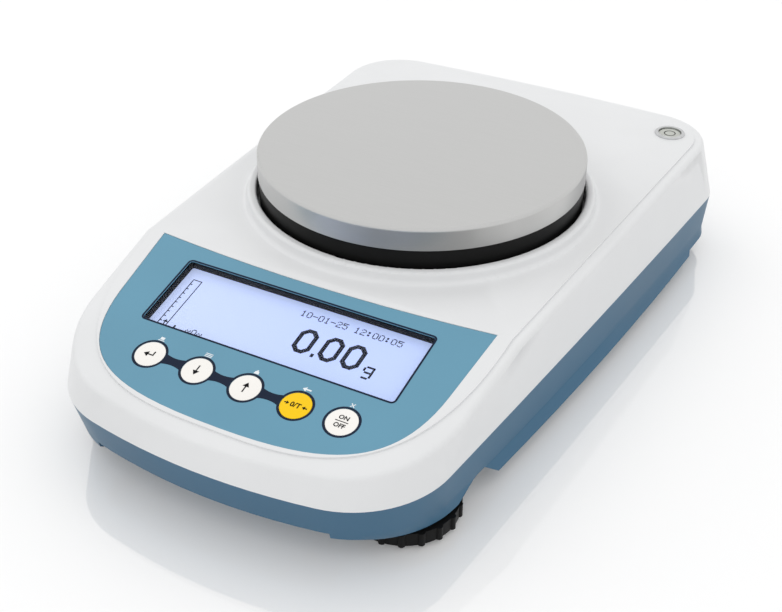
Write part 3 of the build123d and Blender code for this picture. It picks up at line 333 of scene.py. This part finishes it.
tree.links.new(below.outputs["Result"], shade.inputs["Factor"])
tree.links.new(even_tone, colour_socket(shade.inputs, "A"))
tree.links.new(painted_reflections.outputs["Color"], colour_socket(shade.inputs, "B"))
tree.links.new(colour_socket(shade.outputs, "Result"), shader.inputs["Base Color"])
print("bars round the rim", len(RIM_PAINTED_REFLECTIONS))

# %% [markdown]
# ## Clear parts and the lit display
# The window is clear, and it bends light less than glass does, so that its faces mirror less of the room. The
# vial holds a cloudy liquid and transmits only a part of the light. The glass of the display glows evenly from
# the lamp behind it, in a cold lilac that is a little paler at the left.

# %% Clear and lit materials
HAZE_SCALE = 60.0
HAZE_SMOOTH = 0.6  # the smoothest places have this share of the roughness


def clear(name, tone, rough, ior, passing):
    """Clear material; passing is the share of light that it transmits."""
    material, tree, shader = blank(name)
    where = add(tree, "ShaderNodeTexCoord", (-700, 0))
    haze = add(tree, "ShaderNodeTexNoise", (-500, 0), Scale=HAZE_SCALE, Detail=2.0)
    spread = add(tree, "ShaderNodeMapRange", (-250, 0), From_Min=SPREAD_LOW, From_Max=SPREAD_HIGH)
    spread.inputs["To Min"].default_value = rough * HAZE_SMOOTH
    spread.inputs["To Max"].default_value = rough
    tree.links.new(where.outputs["Object"], haze.inputs["Vector"])
    tree.links.new(haze.outputs["Fac"], spread.inputs["Value"])
    tree.links.new(spread.outputs["Result"], shader.inputs["Roughness"])
    shader.inputs["Base Color"].default_value = (*tone, 1)
    shader.inputs["Transmission Weight"].default_value = passing
    shader.inputs["IOR"].default_value = ior
    return material


finishes["window_clear"] = clear("window_clear", (0.97, 0.98, 1.0), 0.02, 1.14, 1.0)
finishes["vial_clear"] = clear("vial_clear", (0.72, 0.74, 0.68), 0.04, 1.46, 0.3)

LCD_PALE = screen(203, 215, 248)
LCD_DEEP = screen(187, 203, 244)
LCD_GLOW = 0.46
LCD_SPAN = (6.0, 10.0, 0.0)  # the slope runs once over the display at this scale
LCD_START = (0.75, 1.4, 0.0)


def lit_glass(name):
    """Display glass that glows in a colour which drifts over its width."""
    material, tree, shader = blank(name)
    where = add(tree, "ShaderNodeTexCoord", (-900, 0))
    pull = add(tree, "ShaderNodeMapping", (-700, 0), Scale=LCD_SPAN, Location=LCD_START)
    cloud = add(tree, "ShaderNodeTexNoise", (-450, -200), Scale=1.2, Detail=1.0)
    slope = add(tree, "ShaderNodeTexGradient", (-450, 0), {"gradient_type": "LINEAR"})
    both = add(tree, "ShaderNodeMath", (-250, 0), {"operation": "MULTIPLY_ADD"})
    both.inputs[1].default_value = 0.3
    tree.links.new(where.outputs["Object"], pull.inputs["Vector"])
    tree.links.new(pull.outputs["Vector"], slope.inputs["Vector"])
    tree.links.new(pull.outputs["Vector"], cloud.inputs["Vector"])
    tree.links.new(cloud.outputs["Fac"], both.inputs[0])
    tree.links.new(slope.outputs["Fac"], both.inputs[2])
    ramp = two_tone(tree, shader, both.outputs["Value"], LCD_PALE, LCD_DEEP, 0.1, 1.2)
    tree.links.new(ramp.outputs["Color"], shader.inputs["Emission Color"])
    shader.inputs["Emission Strength"].default_value = LCD_GLOW
    shader.inputs["Roughness"].default_value = 0.35
    shader.inputs["Specular IOR Level"].default_value = 0.2
    return material


finishes["lcd_glass"] = lit_glass("lcd_glass")
print("finishes", len(finishes))

# %% [markdown]
# ## Dressing the nodes
# The record says which finish each node has, so a loop is enough. The nodes' meshes are loose triangles:
# a small Geometry Nodes tree welds them for shading only, and keeps every edge sharp that turns by more than
# a given angle. The node's own mesh stays as it came.

# %% Soft shading tree
SHARP_ANGLE = math.radians(28.0)
WELD_DISTANCE = 2e-7

shade_tree, enter, leave = new_group(
    "soft_shading",
    "GeometryNodeTree",
    [("Geometry", "NodeSocketGeometry", None), ("Sharp Angle", FLOAT, SHARP_ANGLE)],
    [("Geometry", "NodeSocketGeometry")],
)
weld = add(shade_tree, "GeometryNodeMergeByDistance", (-650, 0), Distance=WELD_DISTANCE)
angle = add(shade_tree, "GeometryNodeInputMeshEdgeAngle", (-650, -200))
below_limit = {"operation": "LESS_THAN", "data_type": "FLOAT"}
gentle = add(shade_tree, "FunctionNodeCompare", (-400, -200), below_limit)
faces_on = add(shade_tree, "GeometryNodeSetShadeSmooth", (-150, 0), {"domain": "FACE"})
edges_on = add(shade_tree, "GeometryNodeSetShadeSmooth", (150, 0), {"domain": "EDGE"})
links = shade_tree.links
links.new(enter.outputs["Geometry"], weld.inputs["Geometry"])
links.new(weld.outputs["Geometry"], faces_on.inputs["Geometry"])
links.new(faces_on.outputs["Geometry"], edges_on.inputs["Geometry"])
links.new(angle.outputs["Unsigned Angle"], gentle.inputs["A"])
links.new(enter.outputs["Sharp Angle"], gentle.inputs["B"])
links.new(gentle.outputs["Result"], edges_on.inputs["Shade Smooth"])
links.new(edges_on.outputs["Geometry"], leave.inputs["Geometry"])


def socket_id(tree, name):
    """Identifier of a tree's input, which a modifier is set by."""
    return next(s.identifier for s in tree.interface.items_tree if s.name == name and s.in_out == "INPUT")


def shade_softly(piece, limit=SHARP_ANGLE):
    """Adds the shading tree to a piece with its own limit angle."""
    modifier = piece.modifiers.new("soft_shading", "NODES")
    modifier.node_group = shade_tree
    modifier[socket_id(shade_tree, "Sharp Angle")] = limit


print("tree", shade_tree.name)

# %% Give every node its finish
slot_of = {part["node"]: part["material_slot"] for part in frame["record"]["subparts"]}
for name, node in nodes.items():
    node.data.materials.clear()
    node.data.materials.append(finishes[slot_of[name]])
    shade_softly(node)
print("dressed", len(slot_of), "nodes in", len(set(slot_of.values())), "finishes")

# %% [markdown]
# ## Working on the sloped panel
# Print, keys and display all lie in one sloped plane. A helper turns a place on the panel into a point in
# space: across to the right, down the slope, and out along its normal. How far each layer lies out is read
# from the nodes themselves.

# %% Panel coordinates
SAME_POINT = 1e-7
PANEL_SLOPE = math.radians(13.45)
PANEL_TOP = Vector((0.0, -73.7 * MM, 65.6 * MM))
PANEL_OUT = Vector((0.0, -math.sin(PANEL_SLOPE), math.cos(PANEL_SLOPE)))
PANEL_DOWN = Vector((0.0, -math.cos(PANEL_SLOPE), -math.sin(PANEL_SLOPE)))


def on_panel(across, down, out):
    """Point in metres for a place on the panel in millimetres."""
    return PANEL_TOP + Vector((across * MM, 0, 0)) + PANEL_DOWN * down * MM + PANEL_OUT * out * MM


def top_of(name):
    """How far a node reaches out from the panel's plane, in millimetres."""
    return max((v.co - PANEL_TOP).dot(PANEL_OUT) for v in nodes[name].data.vertices) / MM


def printed(vertices, faces, thick):
    """Points and faces of a flat print on the panel, closed all round with a thickness."""
    count = len(vertices)
    rise = PANEL_OUT * thick * MM
    used = {}
    for face in faces:
        for a, b in zip(face, face[1:] + face[:1]):
            used[frozenset((a, b))] = used.get(frozenset((a, b)), []) + [(a, b)]
    rim = [pairs[0] for pairs in used.values() if len(pairs) == 1]
    upper = [tuple(i + count for i in reversed(face)) for face in faces]
    walls = [(b, a, a + count, b + count) for a, b in rim]
    return list(vertices) + [Vector(v) + rise for v in vertices], list(faces) + upper + walls


def piece_from(name, vertices, faces, material, body, thick=0.0):
    """Object from a mesh, thickened by some millimetres if asked, with its finish and its body."""
    if thick:
        vertices, faces = printed(vertices, faces, thick)
    mesh = bpy.data.meshes.new(name)
    mesh.from_pydata([tuple(v) for v in vertices], [], faces)
    made = bmesh.new()
    made.from_mesh(mesh)
    bmesh.ops.remove_doubles(made, verts=made.verts, dist=SAME_POINT)
    bmesh.ops.recalc_face_normals(made, faces=made.faces)
    made.to_mesh(mesh)
    made.free()
    mesh.materials.append(finishes[material])
    piece = bpy.data.objects.new(name, mesh)
    scene.collection.objects.link(piece)
    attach(piece, body)
    return piece


film_top = top_of("front_overlay")
glass_top = top_of("lcd_glass")
print("film lies out", round(film_top, 2), "display glass", round(glass_top, 2))

# %% [markdown]
# ## Printed band round the keys
# The four keys of the row are tied together by a dark band that swells round each key and narrows between
# them. Its half height is the larger of two rules: a circle round the nearest key, and a shallow curve
# between two keys. The openings for the keys are cut out with the same circle rule.

# %% Key band
KEY_FIRST, KEY_PITCH, KEY_DOWN, POWER_ACROSS = -46.5, 24.5, 66.4, 48.7
RING_OUT, RING_IN, WAIST, WAIST_CURVE = 8.0, 7.05, 2.0, 0.034
RING_STEP, WAIST_STEPS = 5, 12  # degrees on the rings, parts of a waist
INK_LIFT = 0.03
row = [KEY_FIRST + i * KEY_PITCH for i in range(4)]


def round_half(across, centres, radius):
    """Half height of the circles of one radius at a place along the row."""
    gap = min(abs(across - c) for c in centres)
    return math.sqrt(max(0.0, radius**2 - gap**2))


def band_half(across, centres):
    """Half height of the band: the circles, joined by waists between two keys."""
    half = round_half(across, centres, RING_OUT)
    if centres[0] < across < centres[-1]:
        middle = min(((a + b) / 2 for a, b in zip(centres, centres[1:])), key=lambda m: abs(across - m))
        half = max(half, WAIST + WAIST_CURVE * (across - middle) ** 2)
    return half


def ring_band(name, centres):
    """Printed band round a row of keys as two strips, above and below the openings."""
    steps = set()
    for c in centres:
        for i in range(0, 181, RING_STEP):
            steps.add(round(c + RING_OUT * math.cos(math.radians(i)), 4))
            steps.add(round(c + RING_IN * math.cos(math.radians(i)), 4))
    for a, b in zip(centres, centres[1:]):
        for i in range(1, WAIST_STEPS):
            steps.add(round(a + RING_OUT + (b - a - 2 * RING_OUT) * i / WAIST_STEPS, 4))
    steps = sorted(steps)
    points, faces = [], []
    for side in (1, -1):
        start = len(points)
        for s in steps:
            for half in (round_half(s, centres, RING_IN), band_half(s, centres)):
                points.append(on_panel(s, KEY_DOWN + side * half, film_top + INK_LIFT))
        for i in range(len(steps) - 1):
            a = start + 2 * i
            faces.append((a, a + 1, a + 3, a + 2))
    return piece_from(name, points, faces, "ink_navy", "housing", INK_LIFT)


ring_band("key_band", row)
ring_band("power_ring", [POWER_ACROSS])
print("keys in the row", len(row))

# %% [markdown]
# ## Window frame
# A thin dark line is printed round the window, with small round corners. It hides where the clear pane is
# glued behind the film.

# %% Window line
WINDOW_W, WINDOW_H, WINDOW_DOWN = 126.0, 38.3, 30.2
WINDOW_CORNER, LINE_WIDE, CORNER_STEPS = 1.5, 0.9, 6


def rounded_loop(width, height, radius, steps=CORNER_STEPS):
    """Closed loop of points round a rectangle with rounded corners."""
    loop = []
    for cx, cy, start in ((1, 1, 0), (-1, 1, 90), (-1, -1, 180), (1, -1, 270)):
        for i in range(steps + 1):
            a = math.radians(start + 90 * i / steps)
            x = cx * (width / 2 - radius) + radius * math.cos(a)
            y = cy * (height / 2 - radius) + radius * math.sin(a)
            loop.append((x, y))
    return loop


inner = rounded_loop(WINDOW_W, WINDOW_H, WINDOW_CORNER)
outer = rounded_loop(WINDOW_W + 2 * LINE_WIDE, WINDOW_H + 2 * LINE_WIDE, WINDOW_CORNER + LINE_WIDE)
count = len(inner)
points = [on_panel(x, WINDOW_DOWN - y, film_top + INK_LIFT) for x, y in inner + outer]
faces = [(i, (i + 1) % count, count + (i + 1) % count, count + i) for i in range(count)]
piece_from("window_line", points, faces, "ink_navy", "housing", INK_LIFT)
print("window line points", len(points))

# %% [markdown]
# ## The display's dots
# A graphic display draws with a grid of square dots. The dots that are dark are listed on a sheet of 250
# columns and 76 rows, and a Geometry Nodes tree puts one small tile on each of them. Changing what is shown
# then only means changing the sheet. All places and sizes on it are counted in dots.

# %% Dot sheet
DOT = 0.5
LETTER_STEP = 6
CLOCK = ("10-01-25 12:00:05", 123, 8)
ZERO_COLUMNS, ZERO_LINE = (135, 161, 183), 26
ZERO_WIDE, ZERO_HIGH, ZERO_STROKE, ZERO_CUT = 18, 28, 4, 5
CUT_SHRINK = 0.6
POINT_AT, POINT_SIZE = (156, 50), (3, 4)
UNIT_AT, UNIT_GROW = (206, 44), 2
BAR_LEFT, BAR_TOP, BAR_WIDE, BAR_HIGH = 8, 13, 9, 60
MARKS, MARK_STEP, MARK_WIDE = 9, 6, 2
STEADY_AT, SPOT_AT, SPOT_SIZE, LEVEL_AT = (12, 65), (25, 68), (2, 3), (38, 66)
sheet = set()
SMALL = {
    "0": "01110 10001 10001 10001 10001 10001 01110",
    "1": "00100 01100 00100 00100 00100 00100 01110",
    "2": "01110 10001 00001 00110 01000 10000 11111",
    "5": "11111 10000 11110 00001 00001 10001 01110",
    "-": "00000 00000 00000 11111 00000 00000 00000",
    ":": "00000 01100 01100 00000 01100 01100 00000",
    "g": "01111 10001 10001 01111 00001 00001 01110",
    "~": "00000 00000 01001 10101 10010 00000 00000",
    "^": "00100 01110 11111 00100 00100 00100 00000",
    " ": "00000 00000 00000 00000 00000 00000 00000",
}


def write_small(text, column, line, grow=1):
    """Marks the dots of small characters; grow repeats each dot."""
    for i, letter in enumerate(text):
        for r, bits in enumerate(SMALL[letter].split()):
            for c, bit in enumerate(bits):
                if bit == "1":
                    for dx in range(grow):
                        for dy in range(grow):
                            x = column + (i * LETTER_STEP + c) * grow + dx
                            sheet.add((x, line + r * grow + dy))


def in_zero(x, y, shrink):
    """Whether a dot is inside a zero's outline with cut corners, shrunk by some dots."""
    x0, y0, x1, y1 = shrink, shrink, ZERO_WIDE - shrink, ZERO_HIGH - shrink
    if not (x0 <= x < x1 and y0 <= y < y1):
        return False
    return min(x - x0, x1 - 1 - x) + min(y - y0, y1 - 1 - y) >= ZERO_CUT - shrink * CUT_SHRINK


def write_zero(column, line):
    """Marks the dots of a tall zero."""
    for x in range(ZERO_WIDE):
        for y in range(ZERO_HIGH):
            if in_zero(x, y, 0) and not in_zero(x, y, ZERO_STROKE):
                sheet.add((column + x, line + y))


def fill_dots(column, line, wide, high):
    """Marks all dots of a block."""
    sheet.update((column + x, line + y) for x in range(wide) for y in range(high))


write_small(*CLOCK)
for column in ZERO_COLUMNS:
    write_zero(column, ZERO_LINE)
fill_dots(*POINT_AT, *POINT_SIZE)
write_small("g", *UNIT_AT, UNIT_GROW)
for column in (BAR_LEFT, BAR_LEFT + BAR_WIDE):
    fill_dots(column, BAR_TOP, 1, BAR_HIGH)
fill_dots(BAR_LEFT, BAR_TOP, BAR_WIDE + 1, 1)
for mark in range(1, MARKS + 1):
    fill_dots(BAR_LEFT + 1, BAR_TOP + MARK_STEP * mark, MARK_WIDE, 1)
write_small("^", *STEADY_AT)
fill_dots(*SPOT_AT, *SPOT_SIZE)
write_small("~0~", *LEVEL_AT)
print("dark dots", len(sheet))

# %% Dot tree
dot_tree, enter, leave = new_group(
    "dot_matrix",
    "GeometryNodeTree",
    [
        ("Places", "NodeSocketGeometry", None),
        ("Dot Size", FLOAT, 0.00045),
        ("Dot Height", FLOAT, 0.00003),
        ("Turn", "NodeSocketRotation", None),
        ("Material", "NodeSocketMaterial", None),
    ],
    [("Geometry", "NodeSocketGeometry")],
)
points_in = add(dot_tree, "GeometryNodeMeshToPoints", (-600, 100))
size = add(dot_tree, "ShaderNodeCombineXYZ", (-700, -150))
tile = add(dot_tree, "GeometryNodeMeshCube", (-450, -150))
place_all = add(dot_tree, "GeometryNodeInstanceOnPoints", (-200, 0))
real = add(dot_tree, "GeometryNodeRealizeInstances", (50, 0))
ink = add(dot_tree, "GeometryNodeSetMaterial", (300, 0))
links = dot_tree.links
links.new(enter.outputs["Places"], points_in.inputs["Mesh"])
for axis in "XY":
    links.new(enter.outputs["Dot Size"], size.inputs[axis])
links.new(enter.outputs["Dot Height"], size.inputs["Z"])
links.new(size.outputs["Vector"], tile.inputs["Size"])
links.new(points_in.outputs["Points"], place_all.inputs["Points"])
links.new(tile.outputs["Mesh"], place_all.inputs["Instance"])
links.new(enter.outputs["Turn"], place_all.inputs["Rotation"])
links.new(place_all.outputs["Instances"], real.inputs["Geometry"])
links.new(real.outputs["Geometry"], ink.inputs["Geometry"])
links.new(enter.outputs["Material"], ink.inputs["Material"])
links.new(ink.outputs["Geometry"], leave.inputs["Geometry"])


def bake(source, name, tree, values, body):
    """Runs a tree on a source object and keeps the result as a plain piece on a body."""
    modifier = source.modifiers.new("tree", "NODES")
    modifier.node_group = tree
    for key, value in values.items():
        modifier[socket_id(tree, key)] = value
    bpy.context.view_layer.update()
    evaluated = source.evaluated_get(bpy.context.evaluated_depsgraph_get())
    mesh = bpy.data.meshes.new_from_object(evaluated)
    bpy.data.objects.remove(source)
    piece = bpy.data.objects.new(name, mesh)
    mesh.name = name
    scene.collection.objects.link(piece)
    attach(piece, body)
    print(name, "faces", len(mesh.polygons))
    return piece


def loose_points(name, points):
    """Object whose mesh is only points, for a tree to work on."""
    mesh = bpy.data.meshes.new(name)
    mesh.from_pydata([tuple(p) for p in points], [], [])
    source = bpy.data.objects.new(name, mesh)
    scene.collection.objects.link(source)
    return source


FIRST_DOT = (-62.5, 10.8)
DOT_LIFT, DOT_WIDE, DOT_THICK = 0.02, 0.47, 0.03
dots = [
    on_panel(FIRST_DOT[0] + c * DOT, FIRST_DOT[1] + r * DOT, glass_top + DOT_LIFT)
    for c, r in sorted(sheet)
]
dot_values = {
    "Dot Size": DOT_WIDE * MM,
    "Dot Height": DOT_THICK * MM,
    "Turn": (PANEL_SLOPE, 0.0, 0.0),
    "Material": finishes["lcd_ink"],
}
bake(loose_points("dot_places", dots), "display_dots", dot_tree, dot_values, "housing")

# %% [markdown]
# ## Symbols on the keys
# The symbols are printed on the slightly crowned caps. Each is drawn flat from plain outlines without inward
# corners, its long edges are divided so that it can bend, and it is laid on the crown by raising each point to
# the cap's height there. An arrow is two such outlines, a stem and a head.

# %% Symbol helpers
CROWN, CAP_R, CAP_FLAT = 0.35, 6.8, 1.0
SYMBOL_LIFT, SYMBOL_THICK, LONG_EDGE = 0.04, 0.03, 1.2
SAME_CORNER = 1e-4
FONT_SIZE, FONT_BOLD = 10.0, 0.22


def crown_height(x, y):
    """Height of a cap's crown above its edge at a distance from its middle."""
    reach = max(math.hypot(x, y) - CAP_FLAT, 0.0) / (CAP_R - CAP_FLAT)
    return CROWN * (1 - reach**2)


def block(x0, y0, x1, y1):
    """Outline of a rectangle."""
    return [(x0, y0), (x1, y0), (x1, y1), (x0, y1)]


def turned(shape, degrees, move=(0, 0)):
    """Outline turned about the origin and then moved."""
    c, s = math.cos(math.radians(degrees)), math.sin(math.radians(degrees))
    return [(x * c - y * s + move[0], x * s + y * c + move[1]) for x, y in shape]


def arrow(length, shaft, head, head_wide, degrees, move=(0, 0)):
    """Stem and head of a straight arrow, drawn along +X from its tail and then turned and moved."""
    neck = length - head
    stem = block(0, -shaft / 2, neck, shaft / 2)
    point = [(neck, -head_wide / 2), (length, 0), (neck, head_wide / 2)]
    return [turned(stem, degrees, move), turned(point, degrees, move)]


def letters(text, height, centre):
    """Points in millimetres and faces of a few characters."""
    curve = bpy.data.curves.new("letters", "FONT")
    curve.body = text
    curve.size = FONT_SIZE
    curve.align_x = "CENTER"
    curve.offset = FONT_BOLD
    curve.resolution_u = 3
    helper = bpy.data.objects.new("letters", curve)
    scene.collection.objects.link(helper)
    bpy.context.view_layer.update()
    mesh = bpy.data.meshes.new_from_object(helper.evaluated_get(bpy.context.evaluated_depsgraph_get()))
    bpy.data.objects.remove(helper)
    ys = [v.co.y for v in mesh.vertices]
    scale = height / (max(ys) - min(ys))
    middle = (max(ys) + min(ys)) / 2
    flat = [(v.co.x * scale + centre[0], (v.co.y - middle) * scale + centre[1]) for v in mesh.vertices]
    return flat, [tuple(p.vertices) for p in mesh.polygons]


def symbol(name, shapes, place, body, material, base, crowned=True):
    """Piece from flat shapes round a place on the panel: each is an outline, or what letters() returns."""
    made = bmesh.new()
    for shape in shapes:
        if isinstance(shape, tuple):
            points, faces = shape
            corners = [made.verts.new((x, y, 0)) for x, y in points]
            for face in faces:
                made.faces.new([corners[i] for i in face])
        else:
            made.faces.new([made.verts.new((x, y, 0)) for x, y in shape])
    bmesh.ops.triangulate(made, faces=made.faces[:])
    bmesh.ops.remove_doubles(made, verts=made.verts[:], dist=SAME_CORNER)
    long_edges = [e for e in made.edges if e.calc_length() > LONG_EDGE]
    bmesh.ops.subdivide_edges(made, edges=long_edges, cuts=2)
    bmesh.ops.triangulate(made, faces=made.faces[:])
    points = []
    for v in made.verts:
        lift = crown_height(v.co.x, v.co.y) if crowned else 0.0
        points.append(on_panel(place[0] + v.co.x, place[1] - v.co.y, base + lift + SYMBOL_LIFT))
    made.verts.index_update()
    faces = [tuple(v.index for v in f.verts) for f in made.faces]
    made.free()
    return piece_from(name, points, faces, material, body, SYMBOL_THICK)


# %% Key symbols
ARROW = (5.4, 0.6, 2.3, 3.1)
ENTER_ARROW = (5.0, 0.6, 2.2, 2.9)
ZERO_ARROW = (2.3, 0.5, 1.2, 1.8)
marks = {
    "enter": (row[0], arrow(*ENTER_ARROW, 180, (2.2, -0.5)) + [block(1.6, -0.5, 2.2, 1.7)]),
    "down": (row[1], arrow(*ARROW, -90, (0, 2.7))),
    "up": (row[2], arrow(*ARROW, 90, (0, -2.7))),
    "zero": (
        row[3],
        arrow(*ZERO_ARROW, 0, (-5.4, 0)) + [letters("0/T", 2.6, (0, 0))] + arrow(*ZERO_ARROW, 180, (5.4, 0)),
    ),
    "power": (
        POWER_ACROSS,
        [letters("ON", 2.2, (0, 2.1)), block(-3.0, -0.18, 3.0, 0.18), letters("OFF", 2.2, (0, -2.1))],
    ),
}
for key, (across, shapes) in marks.items():
    symbol(f"mark_{key}", shapes, (across, KEY_DOWN), f"key_{key}", "ink_black", film_top)
print("key symbols", len(marks))

# %% [markdown]
# ## Small print above the keys
# Above each key stands a small white sign for its second use. Plain pictograms do that without words: a sheet
# of paper, a list, a weight, a return arrow and a cross.

# %% Pictograms
SIGN_DOWN = 57.2
sheet_sign = [block(-1.6, -1.0, 1.6, -0.6), block(-1.0, -0.3, 1.0, 1.1)]
list_sign = [block(-1.8, y, 1.8, y + 0.4) for y in (-1.0, -0.2, 0.6)]
weight_sign = [[(-1.2, -1.0), (1.2, -1.0), (0.85, 0.5), (-0.85, 0.5)], block(-0.35, 0.5, 0.35, 1.1)]
back_sign = arrow(4.2, 0.7, 1.8, 2.4, 180, (2.1, 0))
cross_sign = [turned(block(-1.3, -0.2, 1.3, 0.2), a) for a in (45, -45)]
signs = zip(row + [POWER_ACROSS], (sheet_sign, list_sign, weight_sign, back_sign, cross_sign))
for i, (across, shapes) in enumerate(signs):
    symbol(f"sign_{i + 1}", shapes, (across, SIGN_DOWN), "housing", "ink_white", film_top, False)
print("signs above the keys at", SIGN_DOWN)

# %% [markdown]
# ## The bubble level
# The user reads the level against a ring that is printed on the vial: the balance stands level when the
# bubble is inside it. Only that ring is added here, as a thin profile turned round the vial's axis and given
# as radius and height in millimetres.

# %% Ring on the vial
RING_PROFILE = [(2.6, 0.01), (3.1, 0.01), (3.1, 0.05), (2.6, 0.05)]
RING_SEGMENTS = 48
vial_low, vial_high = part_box("level_vial")
vial_mid = (vial_low + vial_high) / 2
points, faces = [], []
for i in range(RING_SEGMENTS):
    a = 2 * math.pi * i / RING_SEGMENTS
    for radius, height in RING_PROFILE:
        x = vial_mid.x + radius * MM * math.cos(a)
        y = vial_mid.y + radius * MM * math.sin(a)
        points.append((x, y, vial_high.z + height * MM))
count = len(RING_PROFILE)
for i in range(RING_SEGMENTS):
    for j in range(count):
        this, beyond = i * count, (i + 1) % RING_SEGMENTS * count
        faces.append((this + j, this + (j + 1) % count, beyond + (j + 1) % count, beyond + j))
ring = piece_from("level_ring", points, faces, "ink_black", "housing")
for polygon in ring.data.polygons:
    polygon.use_smooth = True
print("vial top at", round(vial_high.z, 4))

# %% [markdown]
# ## Floor, background and light
# A product photograph stands on a white sweep. The floor only has to keep the object's shadow and a mirror
# image below a clear coat. For the camera, and in metal and glass, the background is plain white by way of
# Light Path, and never by more light on the object.

# %% Floor
def white_for_camera(tree):
    """Mask that is one for rays that come from the camera, a mirror or clear glass."""
    path = add(tree, "ShaderNodeLightPath", (-700, 300))
    straight = add(tree, "ShaderNodeMath", (-500, 300), {"operation": "MAXIMUM"})
    seen = add(tree, "ShaderNodeMath", (-300, 300), {"operation": "MAXIMUM"})
    tree.links.new(path.outputs["Is Camera Ray"], straight.inputs[0])
    tree.links.new(path.outputs["Is Glossy Ray"], straight.inputs[1])
    tree.links.new(straight.outputs["Value"], seen.inputs[0])
    tree.links.new(path.outputs["Is Transmission Ray"], seen.inputs[1])
    return seen


FLOOR_REACH = 6.0
FLOOR_ROUGHNESS, COAT_IOR, COAT_ROUGHNESS = 0.4, 2.3, 0.04
GLOW_SHARE = 0.12  # how much of what the camera sees of the floor is plain white
corners = [(-1, -1), (1, -1), (1, 1), (-1, 1)]
floor_mesh = bpy.data.meshes.new("floor")
floor_mesh.from_pydata([(x * FLOOR_REACH, y * FLOOR_REACH, 0) for x, y in corners], [], [(0, 1, 2, 3)])
floor = bpy.data.objects.new("floor", floor_mesh)
scene.collection.objects.link(floor)
sweep, tree, shader = blank("white_sweep")
shader.inputs["Base Color"].default_value = (1.0, 1.0, 1.0, 1)
shader.inputs["Roughness"].default_value = FLOOR_ROUGHNESS
shader.inputs["Coat Weight"].default_value = 1.0
shader.inputs["Coat IOR"].default_value = COAT_IOR
shader.inputs["Coat Roughness"].default_value = COAT_ROUGHNESS
glow = add(tree, "ShaderNodeEmission", (0, -300), Color=(1, 1, 1, 1), Strength=1.0)
share = add(tree, "ShaderNodeMath", (100, 300), {"operation": "MULTIPLY"})
share.inputs[1].default_value = GLOW_SHARE
seen = white_for_camera(tree)
mix = add(tree, "ShaderNodeMixShader", (450, 0))
tree.links.new(seen.outputs["Value"], share.inputs[0])
tree.links.new(share.outputs["Value"], mix.inputs["Fac"])
tree.links.new(shader.outputs["BSDF"], mix.inputs[1])
tree.links.new(glow.outputs["Emission"], mix.inputs[2])
output = next(n for n in tree.nodes if n.type == "OUTPUT_MATERIAL")
tree.links.new(mix.outputs["Shader"], output.inputs["Surface"])
floor_mesh.materials.append(sweep)
print("floor", sweep.name)

# %% World
AMBIENT = 0.98
world = bpy.data.worlds.new("studio")
world.use_nodes = True
scene.world = world
tree = world.node_tree
tree.nodes.clear()
ambient = add(tree, "ShaderNodeBackground", (0, 0), Color=(1, 1, 1, 1), Strength=AMBIENT)
plain = add(tree, "ShaderNodeBackground", (0, -200), Color=(1, 1, 1, 1), Strength=1.0)
seen = white_for_camera(tree)
mix = add(tree, "ShaderNodeMixShader", (300, 0))
output = add(tree, "ShaderNodeOutputWorld", (500, 0))
tree.links.new(seen.outputs["Value"], mix.inputs["Fac"])
tree.links.new(ambient.outputs["Background"], mix.inputs[1])
tree.links.new(plain.outputs["Background"], mix.inputs[2])
tree.links.new(mix.outputs["Shader"], output.inputs["Surface"])
print("ambient light", AMBIENT)

# %% [markdown]
# Two large soft lamps, one like a window at the left and one above the rear, only add a little direction to
# the even light. Glossy rays don't see them, or the floor would mirror them as two bright squares.

# %% Lamps
AIM = (0, 0, 0.05)


def softbox(name, place, wide, high, watts):
    """Large rectangular lamp that looks at the object."""
    lamp = bpy.data.lights.new(name, "AREA")
    lamp.shape = "RECTANGLE"
    lamp.size = wide
    lamp.size_y = high
    lamp.energy = watts
    holder = bpy.data.objects.new(name, lamp)
    holder.location = place
    holder.rotation_euler = (Vector(AIM) - Vector(place)).to_track_quat("-Z", "Y").to_euler()
    holder.visible_glossy = False
    scene.collection.objects.link(holder)


softbox("window_light", (-0.75, 0.15, 0.95), 0.9, 0.7, 0.8)
softbox("top_light", (0.1, 0.5, 1.1), 0.8, 0.5, 0.3)
print("lamps", len(bpy.data.lights))
